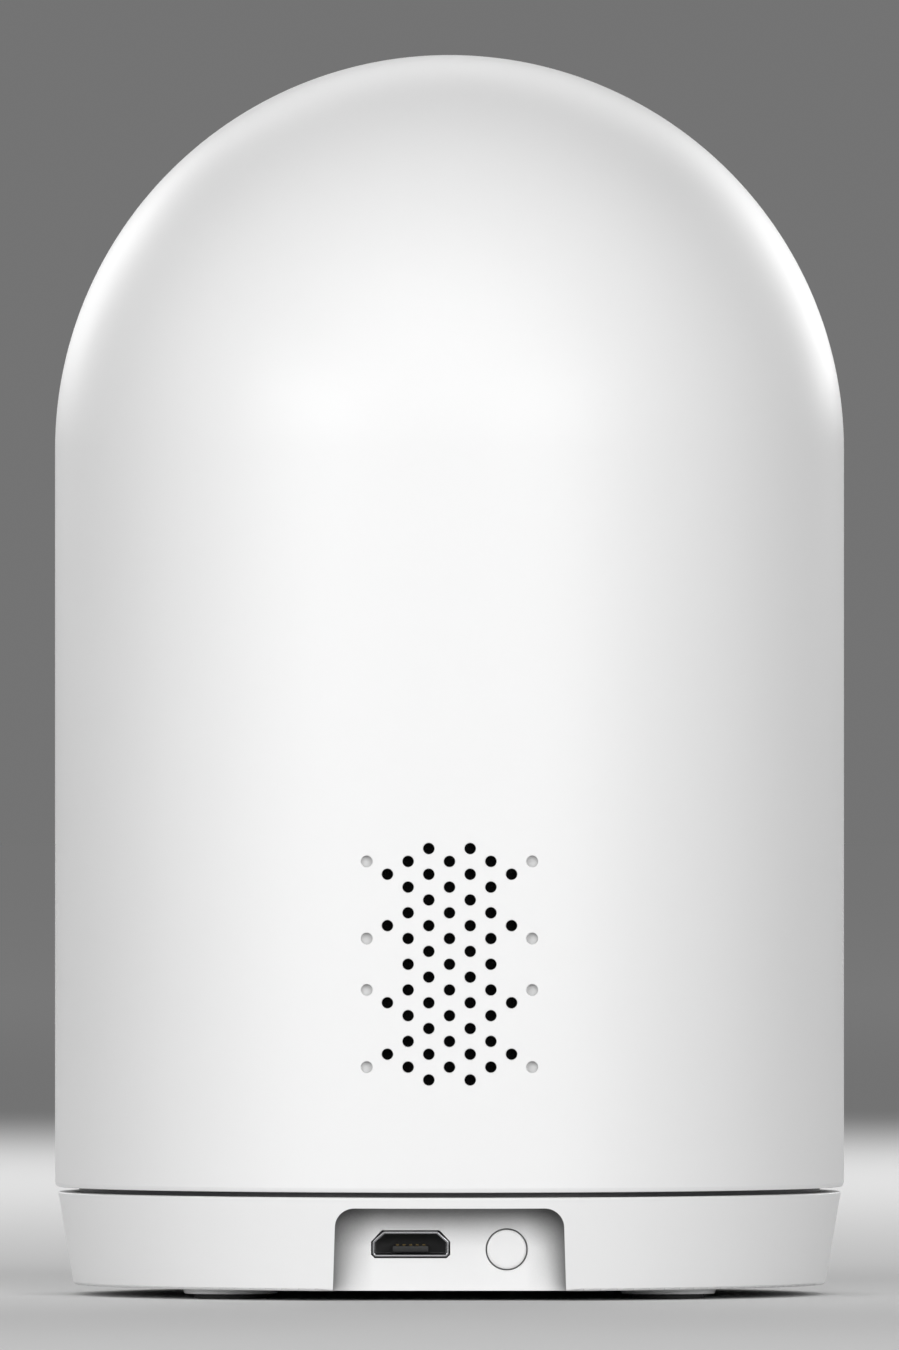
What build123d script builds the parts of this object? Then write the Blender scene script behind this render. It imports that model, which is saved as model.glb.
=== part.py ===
from build123d import *
import math
import os

# Indoor pan-and-tilt security camera: a white capsule head that turns on a low tapered base, with a
# camera ball that tilts in a slot at the front, a speaker grille low on the back, and a power socket
# and reset button in a bay at the back of the base.
# Millimetres. +Z is up and the origin is on the table, under the middle of the base. The lens looks
# along -Y at rest; the grille and the socket face +Y. A pair named LOW, HIGH or (a, b) runs along an axis.

# ---------------------------------------------------------------- driving dimensions: outside
BODY_R = 39.0  # outer radius of the capsule head
SHELL_WALL = 2.0
DOME_Z = 83.5  # centre of the dome and of the camera ball
HEAD_Z = 10.65  # bottom rim of the head
RIM_INWARD, RIM_UPWARD = 0.17, 0.45  # chamfer of the head's bottom rim

BASE_Z, BASE_TOP = 1.0, 10.15  # the base's shell, which stands off the table on its feet
BASE_LOW_R, BASE_TOP_R = 37.15, 38.7
BASE_WALL = 1.8
BASE_LOW_ROUND, BASE_TOP_ROUND = 0.3, 0.15
BASE_ROOM_TAPER = 0.3  # how much thicker the base's wall is at its top
DECK_Z = 8.15  # underside of the base's top deck

FOOT_AT = 21.46  # feet stand at plus and minus this in X and in Y
PAD_R, PAD_THICK = 3.58, 1.0
SHOE_LOW_R, SHOE_TOP_R, SHOE_DROP = 4.54, 4.76, 0.5  # the plate's collar round each pad

BAY_FLOOR_Y = 33.6  # flat back wall of the socket bay
BAY_TOP = 9.1
BAY_HALF_TOP, BAY_HALF_LOW = 11.15, 11.4
BAY_CORNER = 1.9
BAY_WALL = 1.5
USB_AT = (3.8, 5.54)  # X and Z of the socket's middle
USB_WIDE, USB_TALL, USB_SHEET = 7.5, 2.5, 0.3
USB_BEND, USB_CHAMFER, USB_SHOULDER = 0.35, 1.05, 0.25
USB_BACK_Y = 28.2
USB_GAP = 0.12  # round the socket, in the bay's wall
BUTTON_AT = (-5.59, 5.04)
BUTTON_R, BUTTON_HOLE_R, BUTTON_FLANGE_R, BUTTON_PIN_R = 1.97, 2.06, 2.45, 0.7
BUTTON_BACK_Y, BUTTON_FLANGE_Y = 31.2, 31.9
BUTTON_PROUD, BUTTON_ROUND = 0.5, 0.2

GRILLE_Z = 32.96  # middle row of the speaker holes
GRILLE_COLUMN, GRILLE_ROW = 2.02, 1.255  # spacing
GRILLE_ROWS = 19
GRILLE_HOLE_R = 0.55
DIMPLE_DEPTH = 0.6
WIDE_ROWS, DIMPLE_ROWS = (2, 6, 12, 16), (1, 7, 11, 17)  # counted from the top

SLOT_HALF = 20.0  # half width of the opening that the ball shows through
SLOT_LOW, SLOT_HIGH = -16.0, 51.0  # elevations of the centres of the slot's round ends, in degrees
TRIM_WALL, TRIM_SINK = 1.2, 0.25
TRIM_OPEN = 0.45  # below the ball's middle the trim ends this share of the ball's radius in front
BALL_R = 35.3
BALL_WALL, BALL_SIDE_WALL = 1.8, 1.6
BALL_FLAT = 22.0  # the ball is cut flat at this X on both sides
BALL_GAP = 0.4
BALL_SPLIT_Y = 6.0
FACE_R, FACE_GAP = 19.0, 0.15
LENS_HOLE_R = 8.6
MIC_HOLE_R, LIGHT_HOLE_R = 0.5, 0.8
MIC_AT, LIGHT_AT = (0, DOME_Z - 14.0), (0, DOME_Z + 13.5)

# ---------------------------------------------------------------- driving dimensions: fasteners and fits
SCREW_HEAD_R, SCREW_HEAD_H, SCREW_R, SCREW_LONG = 1.7, 0.9, 0.9, 5.0
SCREW_HEAD_CHAMFER, SCREW_TIP_CHAMFER = 0.25, 0.3
CROSS_LONG, CROSS_WIDE, CROSS_DEEP = 1.9, 0.4, 0.5
PILOT_R, THROUGH_R, SINK_R = 0.95, 1.1, 1.85
PILOT_SPARE = 0.2  # how much deeper a pilot hole is than its screw
SLIP = 0.05  # radial gap of pieces that slide together
CUT = 1.0  # how far a cutting tool reaches past what it cuts
JOIN = 0.5  # how far two solids overlap where they are joined
ROOM_BELOW = 0.01  # how far a room that is open below reaches past its opening
FAR = 60.0  # farther than anything in the part

# ---------------------------------------------------------------- driving dimensions: gears and motors
PRESSURE_ANGLE = 25.0
BACKLASH = 0.16  # total, shared by the two gears of a pair
TOOTH_TIP, TOOTH_ROOT = 0.95, 1.25  # in modules
FLANK_STEPS = 4
PINION_TEETH = 12
PAN_MODULE, PAN_TEETH = 0.6, 45
TILT_MODULE, TILT_TEETH = 0.5, 48
HALF_TOOTH = 180.0 / PINION_TEETH
PAN_GEAR, PAN_PINION = (14.6, 17.6), (14.3, 17.9)
TILT_GEAR, TILT_PINION = (-24.5, -22.4), (-24.3, -22.5)
PAN_CENTRES = PAN_MODULE * (PAN_TEETH + PINION_TEETH) / 2
TILT_CENTRES = TILT_MODULE * (TILT_TEETH + PINION_TEETH) / 2
PAN_SHAFT_AT = (0, -PAN_CENTRES)
TILT_SHAFT_ANGLE = -20.0  # from +Y towards +Z, seen from +X
TILT_SHAFT_AT = (
    TILT_CENTRES * math.cos(math.radians(TILT_SHAFT_ANGLE)),
    DOME_Z + TILT_CENTRES * math.sin(math.radians(TILT_SHAFT_ANGLE)),
)
SHAFT_R, SHAFT_GAP, SHAFT_IN = 1.45, 0.07, 0.6
MOTOR_FACE, MOTOR_PLATE = 19.0, 0.8
MOTOR_EDGE, MOTOR_BOSS_R, MOTOR_BOSS, EAR_R = 0.8, 4.5, 0.8, 3.0
PAN_MOTOR_AT, PAN_MOTOR_R, PAN_MOTOR_LONG, PAN_EAR_AT = (0, -23.1), 12.0, 16.0, 15.5
TILT_MOTOR_FACE, TILT_MOTOR_R, TILT_MOTOR_LONG, TILT_EAR_AT = -17.4, 10.0, 13.0, 13.0
TILT_MOTOR_CENTRE = (-4.6, 2.9)  # Y and Z from the shaft

# ---------------------------------------------------------------- driving dimensions: inside the base
PLATE_TOP = 2.2
BOSS_TOP, BOSS_R = 3.2, 3.9  # the base plate's bosses, where the shell's posts stand
FOOT_POST_R, BOARD_POST_R = 2.8, 2.2
BAY_MOUTH_HALF, BAY_MOUTH_Y = 13.3, 31.9  # the plate's cut-out under the bay
INSERT_R, INSERT_BORE_R, INSERT_TOP, INSERT_BOSS_R = 4.5, 2.6, 6.0, 6.5
INSERT_GROOVES, INSERT_GROOVE_R = [(2.8, 3.4), (4.2, 4.8)], 4.2
WEIGHT_R, WEIGHT_BORE_R, WEIGHT_TOP, WEIGHT_BACK_Y, WEIGHT_FOOT_R = 33.0, 8.5, 5.2, 11.5, 5.0
HUB_R, HUB_BORE_R, HUB_FLANGE_R = 8.0, 4.0, 11.5
HUB_FLANGE_TOP, HUB_TOP = 11.55, 14.6
HUB_SCREW_R, HUB_SCREW_TURNS, GEAR_SCREW_TURNS = 6.0, (30, 150, 270), (90, 210, 330)
PAN_GEAR_SEAT = PAN_GEAR[1] - SCREW_HEAD_H - SLIP
NECK_R, RING_INNER_R, RING_LOW = 36.62, 33.0, 9.35  # dark slide ring that shows in the gap under the head
PAN_STOP_R, PAN_PEG_R, PAN_PEG_HIGH = 22.0, 1.2, 1.2
WASHER, WASHER_R, WASHER_GAP = (14.0, 14.55), 12.5, 0.15
BOARD_THICK, BOARD_HALF, BOARD_Y, BOARD_CORNER = 1.0, 14.0, (14.5, 29.9), 1.5
BOARD_TOP = USB_AT[1] - USB_TALL / 2  # the socket stands on the board
BOARD_LOW = BOARD_TOP - BOARD_THICK
BOARD_POSTS = [(-11.0, 19.5), (11.0, 19.5)]
CONTACTS, CONTACT_PITCH, CONTACT_WIDE = 5, 0.65, 0.3
TONGUE_HALF, TONGUE_LOW, TONGUE_TOP = 1.78, -0.8, -0.14  # heights from the socket's middle
TACT_FRONT_Y, TACT_DEEP, TACT_HALF, TACT_TALL, TACT_BORE_R = 29.8, 3.5, 2.3, 1.9, 0.75
PLUNGER_R, PLUNGER_IN, PLUNGER_OUT = 0.7, 0.9, 0.8
LEAD_R, LEAD_BEND, LEAD_START_Y, LEAD_RUN_Z, LEAD_TOP = 0.8, 2.7, 17.0, 7.1, 39.35

# ---------------------------------------------------------------- driving dimensions: inside the head
FLOOR_R, FLOOR_TOP = 36.85, 12.85
COLLAR_R, COLLAR_TOP, COLLAR_BORE_R = 13.0, 13.95, 12.0
TRACK_HALF, STOP_HALF = 1.5, 1.2
SHELL_POST_AT, SHELL_POST_TURNS, SHELL_POST_R, SHELL_POST_TOP = 34.2, (50, 130, 230, 310), 3.2, 30.0
FLOOR_POST_R = 2.6
YOKE_IN, YOKE_OUT = 24.5, 27.0  # inner and outer faces of the yoke's arms
YOKE_LOW, YOKE_FOOT, YOKE_FOOT_OUT, YOKE_HALF, YOKE_HALF_TOP = 15.85, 2.0, 33.0, 9.0, 8.0
YOKE_FEET = [(sx * 30.0, sy * 5.0) for sx in (-1, 1) for sy in (-1, 1)]
BRIDGE, BRIDGE_POST_R = (39.0, 41.0), 2.4
AXLE_R, AXLE_BORE_R, AXLE_OUT = 3.5, 1.6, 0.6
BUSH_R, BUSH_FLANGE_R, BUSH_FLANGE = 4.95, 6.2, 0.8
TILT_PEG_R, TILT_PEG_HOLE_R = 1.2, 1.25
TILT_PEGS = [(0, DOME_Z - 8.0), (0, DOME_Z + 8.0)]
MAIN_LOW, MAIN_TOP, MAIN_HALF, MAIN_Y, MAIN_CORNER = 43.0, 44.2, 23.0, (-28, 13), 4.0
MAIN_POSTS = [(sx * 18.0, sy * 6.0) for sx in (-1, 1) for sy in (-1, 1)]
CHIPS = [  # middle X and Y, width, depth, height
    (0, -8, 12, 12, 1.2),
    (-13, -14, 9, 9, 1.0),
    (-14, 0, 5, 6, 0.9),
    (-3, 6, 6, 5, 0.9),
    (10, 7.5, 10, 4, 1.8),
]
SHIELD, SHIELD_CORNER = (13.5, -16, 15, 13, 2.2), 0.8
PLUG_HALF, PLUG_DEPTH, PLUG_LOW = 3.0, 2.0, 39.5
ANTENNA_Z, ANTENNA_HALF, ANTENNA_THICK = (52, 62), 9.0, 0.25
MESH_HALF, MESH_TALL, MESH_THICK = 9.5, 13.0, 0.3
SPEAKER_HALF, SPEAKER_TALL, SPEAKER_CORNER = 10.0, 14.0, 3.0  # TALL is half the height
SPEAKER_Y = (33.2, 35.0)
SPEAKER_BAR_Y, SPEAKER_BAR_HALF, SPEAKER_BAR_TALL = 32.6, 9.1, 2.0
CONE_HALF, CONE_TALL, CONE_CORNER, CONE_GAP = 8.3, 12.3, 3.9, 0.1
CONE_Y, ROLL_Y, ROLL_IN, ROLL_ROUND, DISH_Y, DISH_IN = (33.3, 33.7), (33.6, 34.4), 0.9, 0.6, 33.9, 2.9
MAGNET_R, MAGNET_Y, MAGNET_ROUND = 7.0, (27.5, 32.6), 0.6
BOX_HALF, BOX_Y, BOX_TOP, BOX_WALL = 12.0, (17.0, 33.2), 47.5, 1.2
BOX_MOUTH_HALF, BOX_MOUTH_TALL = 9.2, 12.6

# ---------------------------------------------------------------- driving dimensions: inside the ball
BALL_POSTS = [(sx * 15.5, DOME_Z + sz * 22.0) for sx in (-1, 1) for sz in (-1, 1)]
BALL_POST_R, BALL_POST_FRONT_Y, BALL_RIB, BALL_RIB_BACK_Y, BALL_SCREW_Y = 2.4, -2.0, 0.8, 20.0, 9.0
EAR_POST_R, SHAFT_HOLE_R = 2.6, 3.8
IR_BOARD, SENSOR_BOARD = (-26.2, -25.2), (-12.2, -11.2)
LEDGE_R, LEDGE_BORE_R, LEDGE_FRONT_Y = 20.5, 17.2, -32.0
LENS_RING = [(6.7, 31.0), (8.5, 31.0), (8.5, 34.2), (8.1, 34.2), (6.7, 32.6)]  # radius, distance in front
LENS_BARREL = [
    (3.5, 17.0), (5.55, 17.0), (5.55, 26.0), (6.6, 26.0), (6.6, 34.0), (6.2, 34.3), (5.6, 34.3),
    (5.2, 33.8), (5.2, 32.4), (3.5, 31.4),
]
GLASS_R, GLASS_CROWN, GLASS_BACK, GLASS_CURVE = 5.15, 35.0, 32.45, 12.6
REAR_GLASS_R, REAR_GLASS = 3.45, (18.0, 19.5)
HOLDER_HALF, HOLDER_FRONT_Y, HOLDER_CORNER = 7.5, -22.0, 1.0
HOLDER_BORE_R, HOLDER_BORE_Y, HOLDER_LIGHT_R = 5.6, -16.5, 4.6
SENSOR_BOARD_HALF, SENSOR_HALF, SENSOR_TALL, SENSOR_THICK = 13.0, 3.2, 2.4, 1.0
PILLAR_AT, PILLAR_R = 10.5, 1.6
IR_BOARD_R, IR_BOARD_BORE_R = 19.5, 7.5
LED_RING_R, LEDS, LED_BODY, LED_THICK, LED_LENS_R = 13.0, 8, 3.0, 1.2, 1.25
MIC_R, MIC_TALL = 1.5, 1.3
LIGHT_PIPE_R, LIGHT_PIPE_FRONT_Y, LIGHT_FOOT_R, LIGHT_FOOT = 0.75, -32.55, 1.3, 1.5
CARD_ANGLE = -60.0  # elevation of the memory card's mouth
CARD_SLOT, CARD_SLOT_OUT = (11.8, 14, 1.5), 30.0
CARD_CASE, CARD_CASE_OUT = (14.0, 14.0, 1.7), 25.4
CARD_ROOM, CARD_ROOM_OUT = (11.4, 14.5, 0.9), 27.0


# ---------------------------------------------------------------- small shapes
def block(x, y, z):
    """A box from low and high limits along each axis."""
    size = [high - low for low, high in (x, y, z)]
    middle = [(high + low) / 2 for low, high in (x, y, z)]
    return Pos(*middle) * Box(*size)


def rod_z(radius, low, high, at=(0, 0)):
    return Pos(at[0], at[1], (low + high) / 2) * Cylinder(radius, high - low)


def rod_y(radius, low, high, at=(0, 0)):
    """A cylinder along Y. at is its X and Z."""
    return Pos(at[0], (low + high) / 2, at[1]) * Rot(90, 0, 0) * Cylinder(radius, high - low)


def rod_x(radius, low, high, at=(0, 0)):
    """A cylinder along X. at is its Y and Z."""
    return Pos((low + high) / 2, at[0], at[1]) * Rot(0, 90, 0) * Cylinder(radius, high - low)


def ring_z(outer, inner, low, high, at=(0, 0)):
    return rod_z(outer, low, high, at) - rod_z(inner, low - CUT, high + CUT, at)


def ring_y(outer, inner, low, high, at=(0, 0)):
    return rod_y(outer, low, high, at) - rod_y(inner, low - CUT, high + CUT, at)


def cone_z(low_r, high_r, low, high):
    return Pos(0, 0, (low + high) / 2) * Cone(low_r, high_r, high - low)


def ball_at(radius):
    """A sphere about the centre of the dome."""
    return Pos(0, 0, DOME_Z) * Sphere(radius)


def on_circle(radius, turns):
    """X and Y of places on a circle, at these angles in degrees."""
    return [(radius * math.cos(math.radians(t)), radius * math.sin(math.radians(t))) for t in turns]


def about_grille(half, y, tall):
    """A box centred on the speaker holes, between two values of Y."""
    return block((-half, half), y, (GRILLE_Z - tall, GRILLE_Z + tall))


def turned(points):
    """A solid turned about the lens's axis. Each point is a radius and a distance in front of the centre."""
    face = make_face(Polyline(*points, close=True))
    return Pos(0, 0, DOME_Z) * Rot(90, 0, 0) * revolve(Plane.XZ * face, Axis.Z)


def together(solids):
    """Several separate solids in one node."""
    return Compound(children=[s if isinstance(s, Solid) else s.solid() for s in solids])


def screw():
    """Cross-head screw, head up: the underside of its head is at the origin."""
    head = Pos(0, 0, SCREW_HEAD_H / 2) * Cylinder(SCREW_HEAD_R, SCREW_HEAD_H)
    head = chamfer(head.edges().group_by(Axis.Z)[-1], SCREW_HEAD_CHAMFER)
    for turn in (0, 90):
        head -= Pos(0, 0, SCREW_HEAD_H) * Rot(0, 0, turn) * Box(CROSS_LONG, CROSS_WIDE, 2 * CROSS_DEEP)
    shank = Pos(0, 0, -SCREW_LONG / 2) * Cylinder(SCREW_R, SCREW_LONG)
    return (head + chamfer(shank.edges().group_by(Axis.Z)[0], SCREW_TIP_CHAMFER)).solid()


def screws_down(places, z):
    """Screws driven downwards, their heads standing on z."""
    return [Pos(x, y, z) * screw() for x, y in places]


def screws_up(places, z):
    """Screws driven upwards, their heads hanging under z."""
    return [Pos(x, y, z) * Rot(180, 0, 0) * screw() for x, y in places]


def gear(module, teeth, low, high, turn):
    """Spur gear about Z with involute flanks. One tooth points along the angle turn, in degrees."""
    pitch_r = module * teeth / 2
    base_r = pitch_r * math.cos(math.radians(PRESSURE_ANGLE))
    tip_r = pitch_r + TOOTH_TIP * module
    root_r = pitch_r - TOOTH_ROOT * module

    def roll(radius):
        """Involute function at a radius, in radians."""
        angle = math.acos(min(1.0, base_r / radius))
        return math.tan(angle) - angle

    half = (math.pi * module - BACKLASH) / (4 * pitch_r) + roll(pitch_r)
    start = max(base_r, root_r)
    radii = [start + (tip_r - start) * k / FLANK_STEPS for k in range(FLANK_STEPS + 1)]
    foot = [root_r] if root_r < base_r else []
    points = []
    for tooth in range(teeth):
        middle = math.radians(turn) + 2 * math.pi * tooth / teeth
        points += [(r, middle - half) for r in foot]
        points += [(r, middle - half + roll(r)) for r in radii]
        points += [(r, middle + half - roll(r)) for r in reversed(radii)]
        points += [(r, middle + half) for r in foot]
    outline = Polyline(*[(r * math.cos(a), r * math.sin(a)) for r, a in points], close=True)
    return Pos(0, 0, low) * extrude(make_face(outline), high - low)


def pinion(module, low, high, turn):
    return gear(module, PINION_TEETH, low, high, turn) - rod_z(SHAFT_R, low - CUT, high + CUT)


def across(solid, at):
    """Lays a solid that stands on Z along X instead, with its own X along +Y and its own Y along +Z."""
    frame = Plane(origin=(0, at[0], at[1]), x_dir=(0, 1, 0), z_dir=(1, 0, 0))
    return frame.location * solid


def capsule_body(radius, low):
    """Cylinder from low to the dome's centre, with the dome on it."""
    return rod_z(radius, low, DOME_Z) + ball_at(radius)


def slot_body(half, inner=15.0, outer=60.0):
    """What cuts the ball's slot: a slab between two elevations, with a round end at each."""
    low, high = math.radians(SLOT_LOW), math.radians(SLOT_HIGH)
    reach = 80.0
    rays = [(-reach * math.cos(a), reach * math.sin(a)) for a in (low, (low + high) / 2, high)]
    wedge = extrude(Plane.YZ * make_face(Polyline((0, 0), *rays, close=True)), half, both=True)
    wedge = Pos(0, 0, DOME_Z) * wedge - rod_x(inner, -half - CUT, half + CUT, (0, DOME_Z))
    for angle in (SLOT_LOW, SLOT_HIGH):
        end = Pos(0, 0, DOME_Z) * Rot(-angle, 0, 0) * Pos(0, -(inner + outer) / 2, 0) * Rot(90, 0, 0)
        wedge += end * Cylinder(half, outer - inner)
    return wedge


# ---------------------------------------------------------------- base
FEET = [(sx * FOOT_AT, sy * FOOT_AT) for sx in (-1, 1) for sy in (-1, 1)]
HUB_SCREWS = on_circle(HUB_SCREW_R, HUB_SCREW_TURNS)
GEAR_SCREWS = on_circle(HUB_SCREW_R, GEAR_SCREW_TURNS)


def bay_outline(grow, low):
    """The socket bay's outline in X and Z: a drafted box with two round corners at the top."""
    draft = (BAY_HALF_LOW - BAY_HALF_TOP) / (BAY_TOP - BASE_Z)
    top_half = BAY_HALF_TOP + grow
    low_half = top_half + draft * (BAY_TOP - low)
    top = BAY_TOP + grow
    corners = [(-low_half, low), (-top_half, top), (top_half, top), (low_half, low)]
    face = make_face(Polyline(*corners, close=True))
    return fillet(face.vertices().group_by(Axis.Y)[-1], BAY_CORNER + grow)


def bay_prism(grow, y_low, y_high, low):
    return Pos(0, y_high, 0) * extrude(Plane.XZ * bay_outline(grow, low), y_high - y_low)


def usb_outline(grow):
    """The socket's mouth in X and Z about its middle: wide below, with two long chamfers above."""
    half = USB_WIDE / 2 + grow
    top = USB_TALL / 2 + grow
    right = [(half, USB_BEND - top), (half - USB_BEND, -top)]
    left = [(-x, z) for x, z in reversed(right)]
    rise = [(-half, USB_SHOULDER), (-half + USB_CHAMFER, top)]
    fall = [(-x, z) for x, z in reversed(rise)]
    return make_face(Polyline(*left, *rise, *fall, *right, close=True))


def usb_prism(grow, y_low, y_high):
    return Pos(USB_AT[0], y_high, USB_AT[1]) * extrude(Plane.XZ * usb_outline(grow), y_high - y_low)


def make_base_shell():
    outer = cone_z(BASE_LOW_R, BASE_TOP_R, BASE_Z, BASE_TOP)
    outer = fillet(outer.edges().group_by(Axis.Z)[0], BASE_LOW_ROUND)
    outer = fillet(outer.edges().group_by(Axis.Z)[-1], BASE_TOP_ROUND)
    room_top_r = BASE_TOP_R - BASE_WALL - BASE_ROOM_TAPER
    room = cone_z(BASE_LOW_R - BASE_WALL, room_top_r, BASE_Z - ROOM_BELOW, DECK_Z)
    shell = outer - room
    shell += bay_prism(BAY_WALL, BAY_FLOOR_Y - BAY_WALL, 36.0, BASE_Z) & outer
    shell -= bay_prism(0, BAY_FLOOR_Y, 45.0, BASE_Z - 2)
    for foot in FEET:
        shell += rod_z(FOOT_POST_R, BOSS_TOP, DECK_Z + JOIN, foot)
        shell -= rod_z(PILOT_R, BOSS_TOP - CUT, DECK_Z - 0.5, foot)
    for post in BOARD_POSTS:
        shell += rod_z(BOARD_POST_R, BOARD_TOP, DECK_Z + JOIN, post)
        shell -= rod_z(PILOT_R, BOARD_TOP - CUT, BOARD_TOP + SCREW_LONG - 0.5, post)
    shell -= ring_z(NECK_R + 0.08, RING_INNER_R - 0.1, RING_LOW, BASE_TOP + CUT)
    shell -= rod_z(HUB_BORE_R + 0.2, DECK_Z - CUT, BASE_TOP + CUT)
    for place in HUB_SCREWS:
        shell -= rod_z(THROUGH_R, DECK_Z - CUT, BASE_TOP + CUT, place)
    shell += rod_z(PAN_PEG_R, BASE_TOP - JOIN, BASE_TOP + PAN_PEG_HIGH, (0, PAN_STOP_R))
    shell -= usb_prism(USB_GAP, BAY_FLOOR_Y - 3, BAY_FLOOR_Y + CUT)
    shell -= rod_y(BUTTON_HOLE_R, BAY_FLOOR_Y - 3, BAY_FLOOR_Y + CUT, BUTTON_AT)
    return shell


def make_base_plate():
    plate = rod_z(BASE_LOW_R - BASE_WALL - 0.1, BASE_Z, PLATE_TOP)
    plate -= block((-BAY_MOUTH_HALF, BAY_MOUTH_HALF), (BAY_MOUTH_Y, FAR), (0, 5))
    for x, y in FEET:
        plate += Pos(x, y, BASE_Z - SHOE_DROP / 2) * Cone(SHOE_LOW_R, SHOE_TOP_R, SHOE_DROP)
        plate += rod_z(BOSS_R, PLATE_TOP - JOIN, BOSS_TOP, (x, y))
        plate -= rod_z(PAD_R + SLIP, BASE_Z - CUT, PAD_THICK, (x, y))
        plate -= rod_z(SINK_R, PAD_THICK - 0.5, PAD_THICK + SCREW_HEAD_H + SLIP, (x, y))
        plate -= rod_z(THROUGH_R, PAD_THICK, BOSS_TOP + CUT, (x, y))
    plate += rod_z(INSERT_BOSS_R, PLATE_TOP - JOIN, INSERT_TOP)
    return plate - rod_z(INSERT_R + SLIP, BASE_Z - CUT, INSERT_TOP + CUT)


def make_rubber_feet():
    return together([rod_z(PAD_R, 0, PAD_THICK, foot) for foot in FEET])


def make_base_screws():
    found = screws_up(FEET, PAD_THICK + SCREW_HEAD_H)
    found += screws_up(HUB_SCREWS, DECK_Z) + screws_up(BOARD_POSTS, BOARD_LOW)
    return together(found + screws_down(GEAR_SCREWS, PAN_GEAR_SEAT))


def make_tripod_insert():
    """Brass insert with a quarter-inch tripod thread, drawn at the thread's minor diameter."""
    body = ring_z(INSERT_R, INSERT_BORE_R, BASE_Z, INSERT_TOP)
    for low, high in INSERT_GROOVES:
        body -= ring_z(INSERT_R + 0.5, INSERT_GROOVE_R, low, high)
    return body


def make_base_weight():
    """Steel ballast: most of a ring, left open at the back for the socket board."""
    weight = ring_z(WEIGHT_R, WEIGHT_BORE_R, PLATE_TOP, WEIGHT_TOP)
    weight -= block((-FAR, FAR), (WEIGHT_BACK_Y, FAR), (0, 10))
    for foot in FEET:
        weight -= rod_z(WEIGHT_FOOT_R, 0, 10, foot)
    return weight


def make_slide_ring():
    return ring_z(NECK_R, RING_INNER_R, RING_LOW, HEAD_Z - SLIP)


def make_pan_hub():
    hub = rod_z(HUB_FLANGE_R, BASE_TOP, HUB_FLANGE_TOP) + rod_z(HUB_R, BASE_TOP, HUB_TOP)
    hub -= rod_z(HUB_BORE_R, 0, 30)
    for place in HUB_SCREWS:
        hub -= rod_z(PILOT_R, BASE_TOP - CUT, DECK_Z + SCREW_LONG + PILOT_SPARE, place)
    for place in GEAR_SCREWS:
        hub -= rod_z(PILOT_R, PAN_GEAR_SEAT - SCREW_LONG - PILOT_SPARE, HUB_TOP + CUT, place)
    return hub


def make_pan_gear():
    wheel = gear(PAN_MODULE, PAN_TEETH, *PAN_GEAR, turn=-90) - rod_z(HUB_BORE_R, 0, 30)
    for place in GEAR_SCREWS:
        wheel -= rod_z(THROUGH_R, 10, 30, place)
        wheel -= rod_z(SINK_R, PAN_GEAR_SEAT, 30, place)
    return wheel


def make_thrust_washer():
    return ring_z(WASHER_R, HUB_R + WASHER_GAP, *WASHER)


def make_base_board():
    board = block((-BOARD_HALF, BOARD_HALF), BOARD_Y, (BOARD_LOW, BOARD_TOP))
    board = fillet(board.edges().filter_by(Axis.Z), BOARD_CORNER)
    for post in BOARD_POSTS:
        board -= rod_z(THROUGH_R, 0, 10, post)
    return board


def make_usb_shell():
    """Folded steel shell of the power socket, open at the front and closed at the back."""
    room = usb_prism(-USB_SHEET, USB_BACK_Y + USB_SHEET, BAY_FLOOR_Y + CUT)
    return usb_prism(0, USB_BACK_Y, BAY_FLOOR_Y + SLIP) - room


def make_usb_tongue():
    x, z = USB_AT
    back = usb_prism(-0.32, USB_BACK_Y + 0.32, USB_BACK_Y + 1.6)
    height = (z + TONGUE_LOW, z + TONGUE_TOP)
    return back + block((x - TONGUE_HALF, x + TONGUE_HALF), (USB_BACK_Y + 1, BAY_FLOOR_Y - 0.6), height)


def make_usb_contacts():
    x, z = USB_AT
    length = (USB_BACK_Y + 1.7, BAY_FLOOR_Y - 0.7)
    height = (z + TONGUE_TOP, z + TONGUE_TOP + 0.12)
    middles = [x + (k - (CONTACTS - 1) / 2) * CONTACT_PITCH for k in range(CONTACTS)]
    return together([block((m - CONTACT_WIDE / 2, m + CONTACT_WIDE / 2), length, height) for m in middles])


def make_tact_switch():
    x = BUTTON_AT[0]
    depth = (TACT_FRONT_Y - TACT_DEEP, TACT_FRONT_Y)
    body = block((x - TACT_HALF, x + TACT_HALF), depth, (BOARD_TOP, BOARD_TOP + TACT_TALL))
    return body - rod_y(TACT_BORE_R, TACT_FRONT_Y - 1.6, TACT_FRONT_Y + CUT, BUTTON_AT)


def make_pan_harness():
    """Power and data lead: from the socket board, along under the deck and up through the hub."""
    corners = [
        (0, LEAD_START_Y, BOARD_TOP), (0, LEAD_START_Y, LEAD_RUN_Z), (0, 0, LEAD_RUN_Z), (0, 0, LEAD_TOP),
    ]
    path = FilletPolyline(*corners, radius=LEAD_BEND)
    section = Plane(origin=path @ 0, z_dir=path % 0) * Circle(LEAD_R)
    return sweep(section, path)


# ---------------------------------------------------------------- reset button
def make_reset_button_cap():
    cap = rod_y(BUTTON_R, BUTTON_BACK_Y, BAY_FLOOR_Y + BUTTON_PROUD, BUTTON_AT)
    cap = fillet(cap.edges().group_by(Axis.Y)[-1], BUTTON_ROUND)
    cap += rod_y(BUTTON_FLANGE_R, BUTTON_BACK_Y, BUTTON_FLANGE_Y, BUTTON_AT)
    return cap + rod_y(BUTTON_PIN_R, TACT_FRONT_Y + PLUNGER_OUT, BUTTON_BACK_Y + 0.3, BUTTON_AT)


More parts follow.
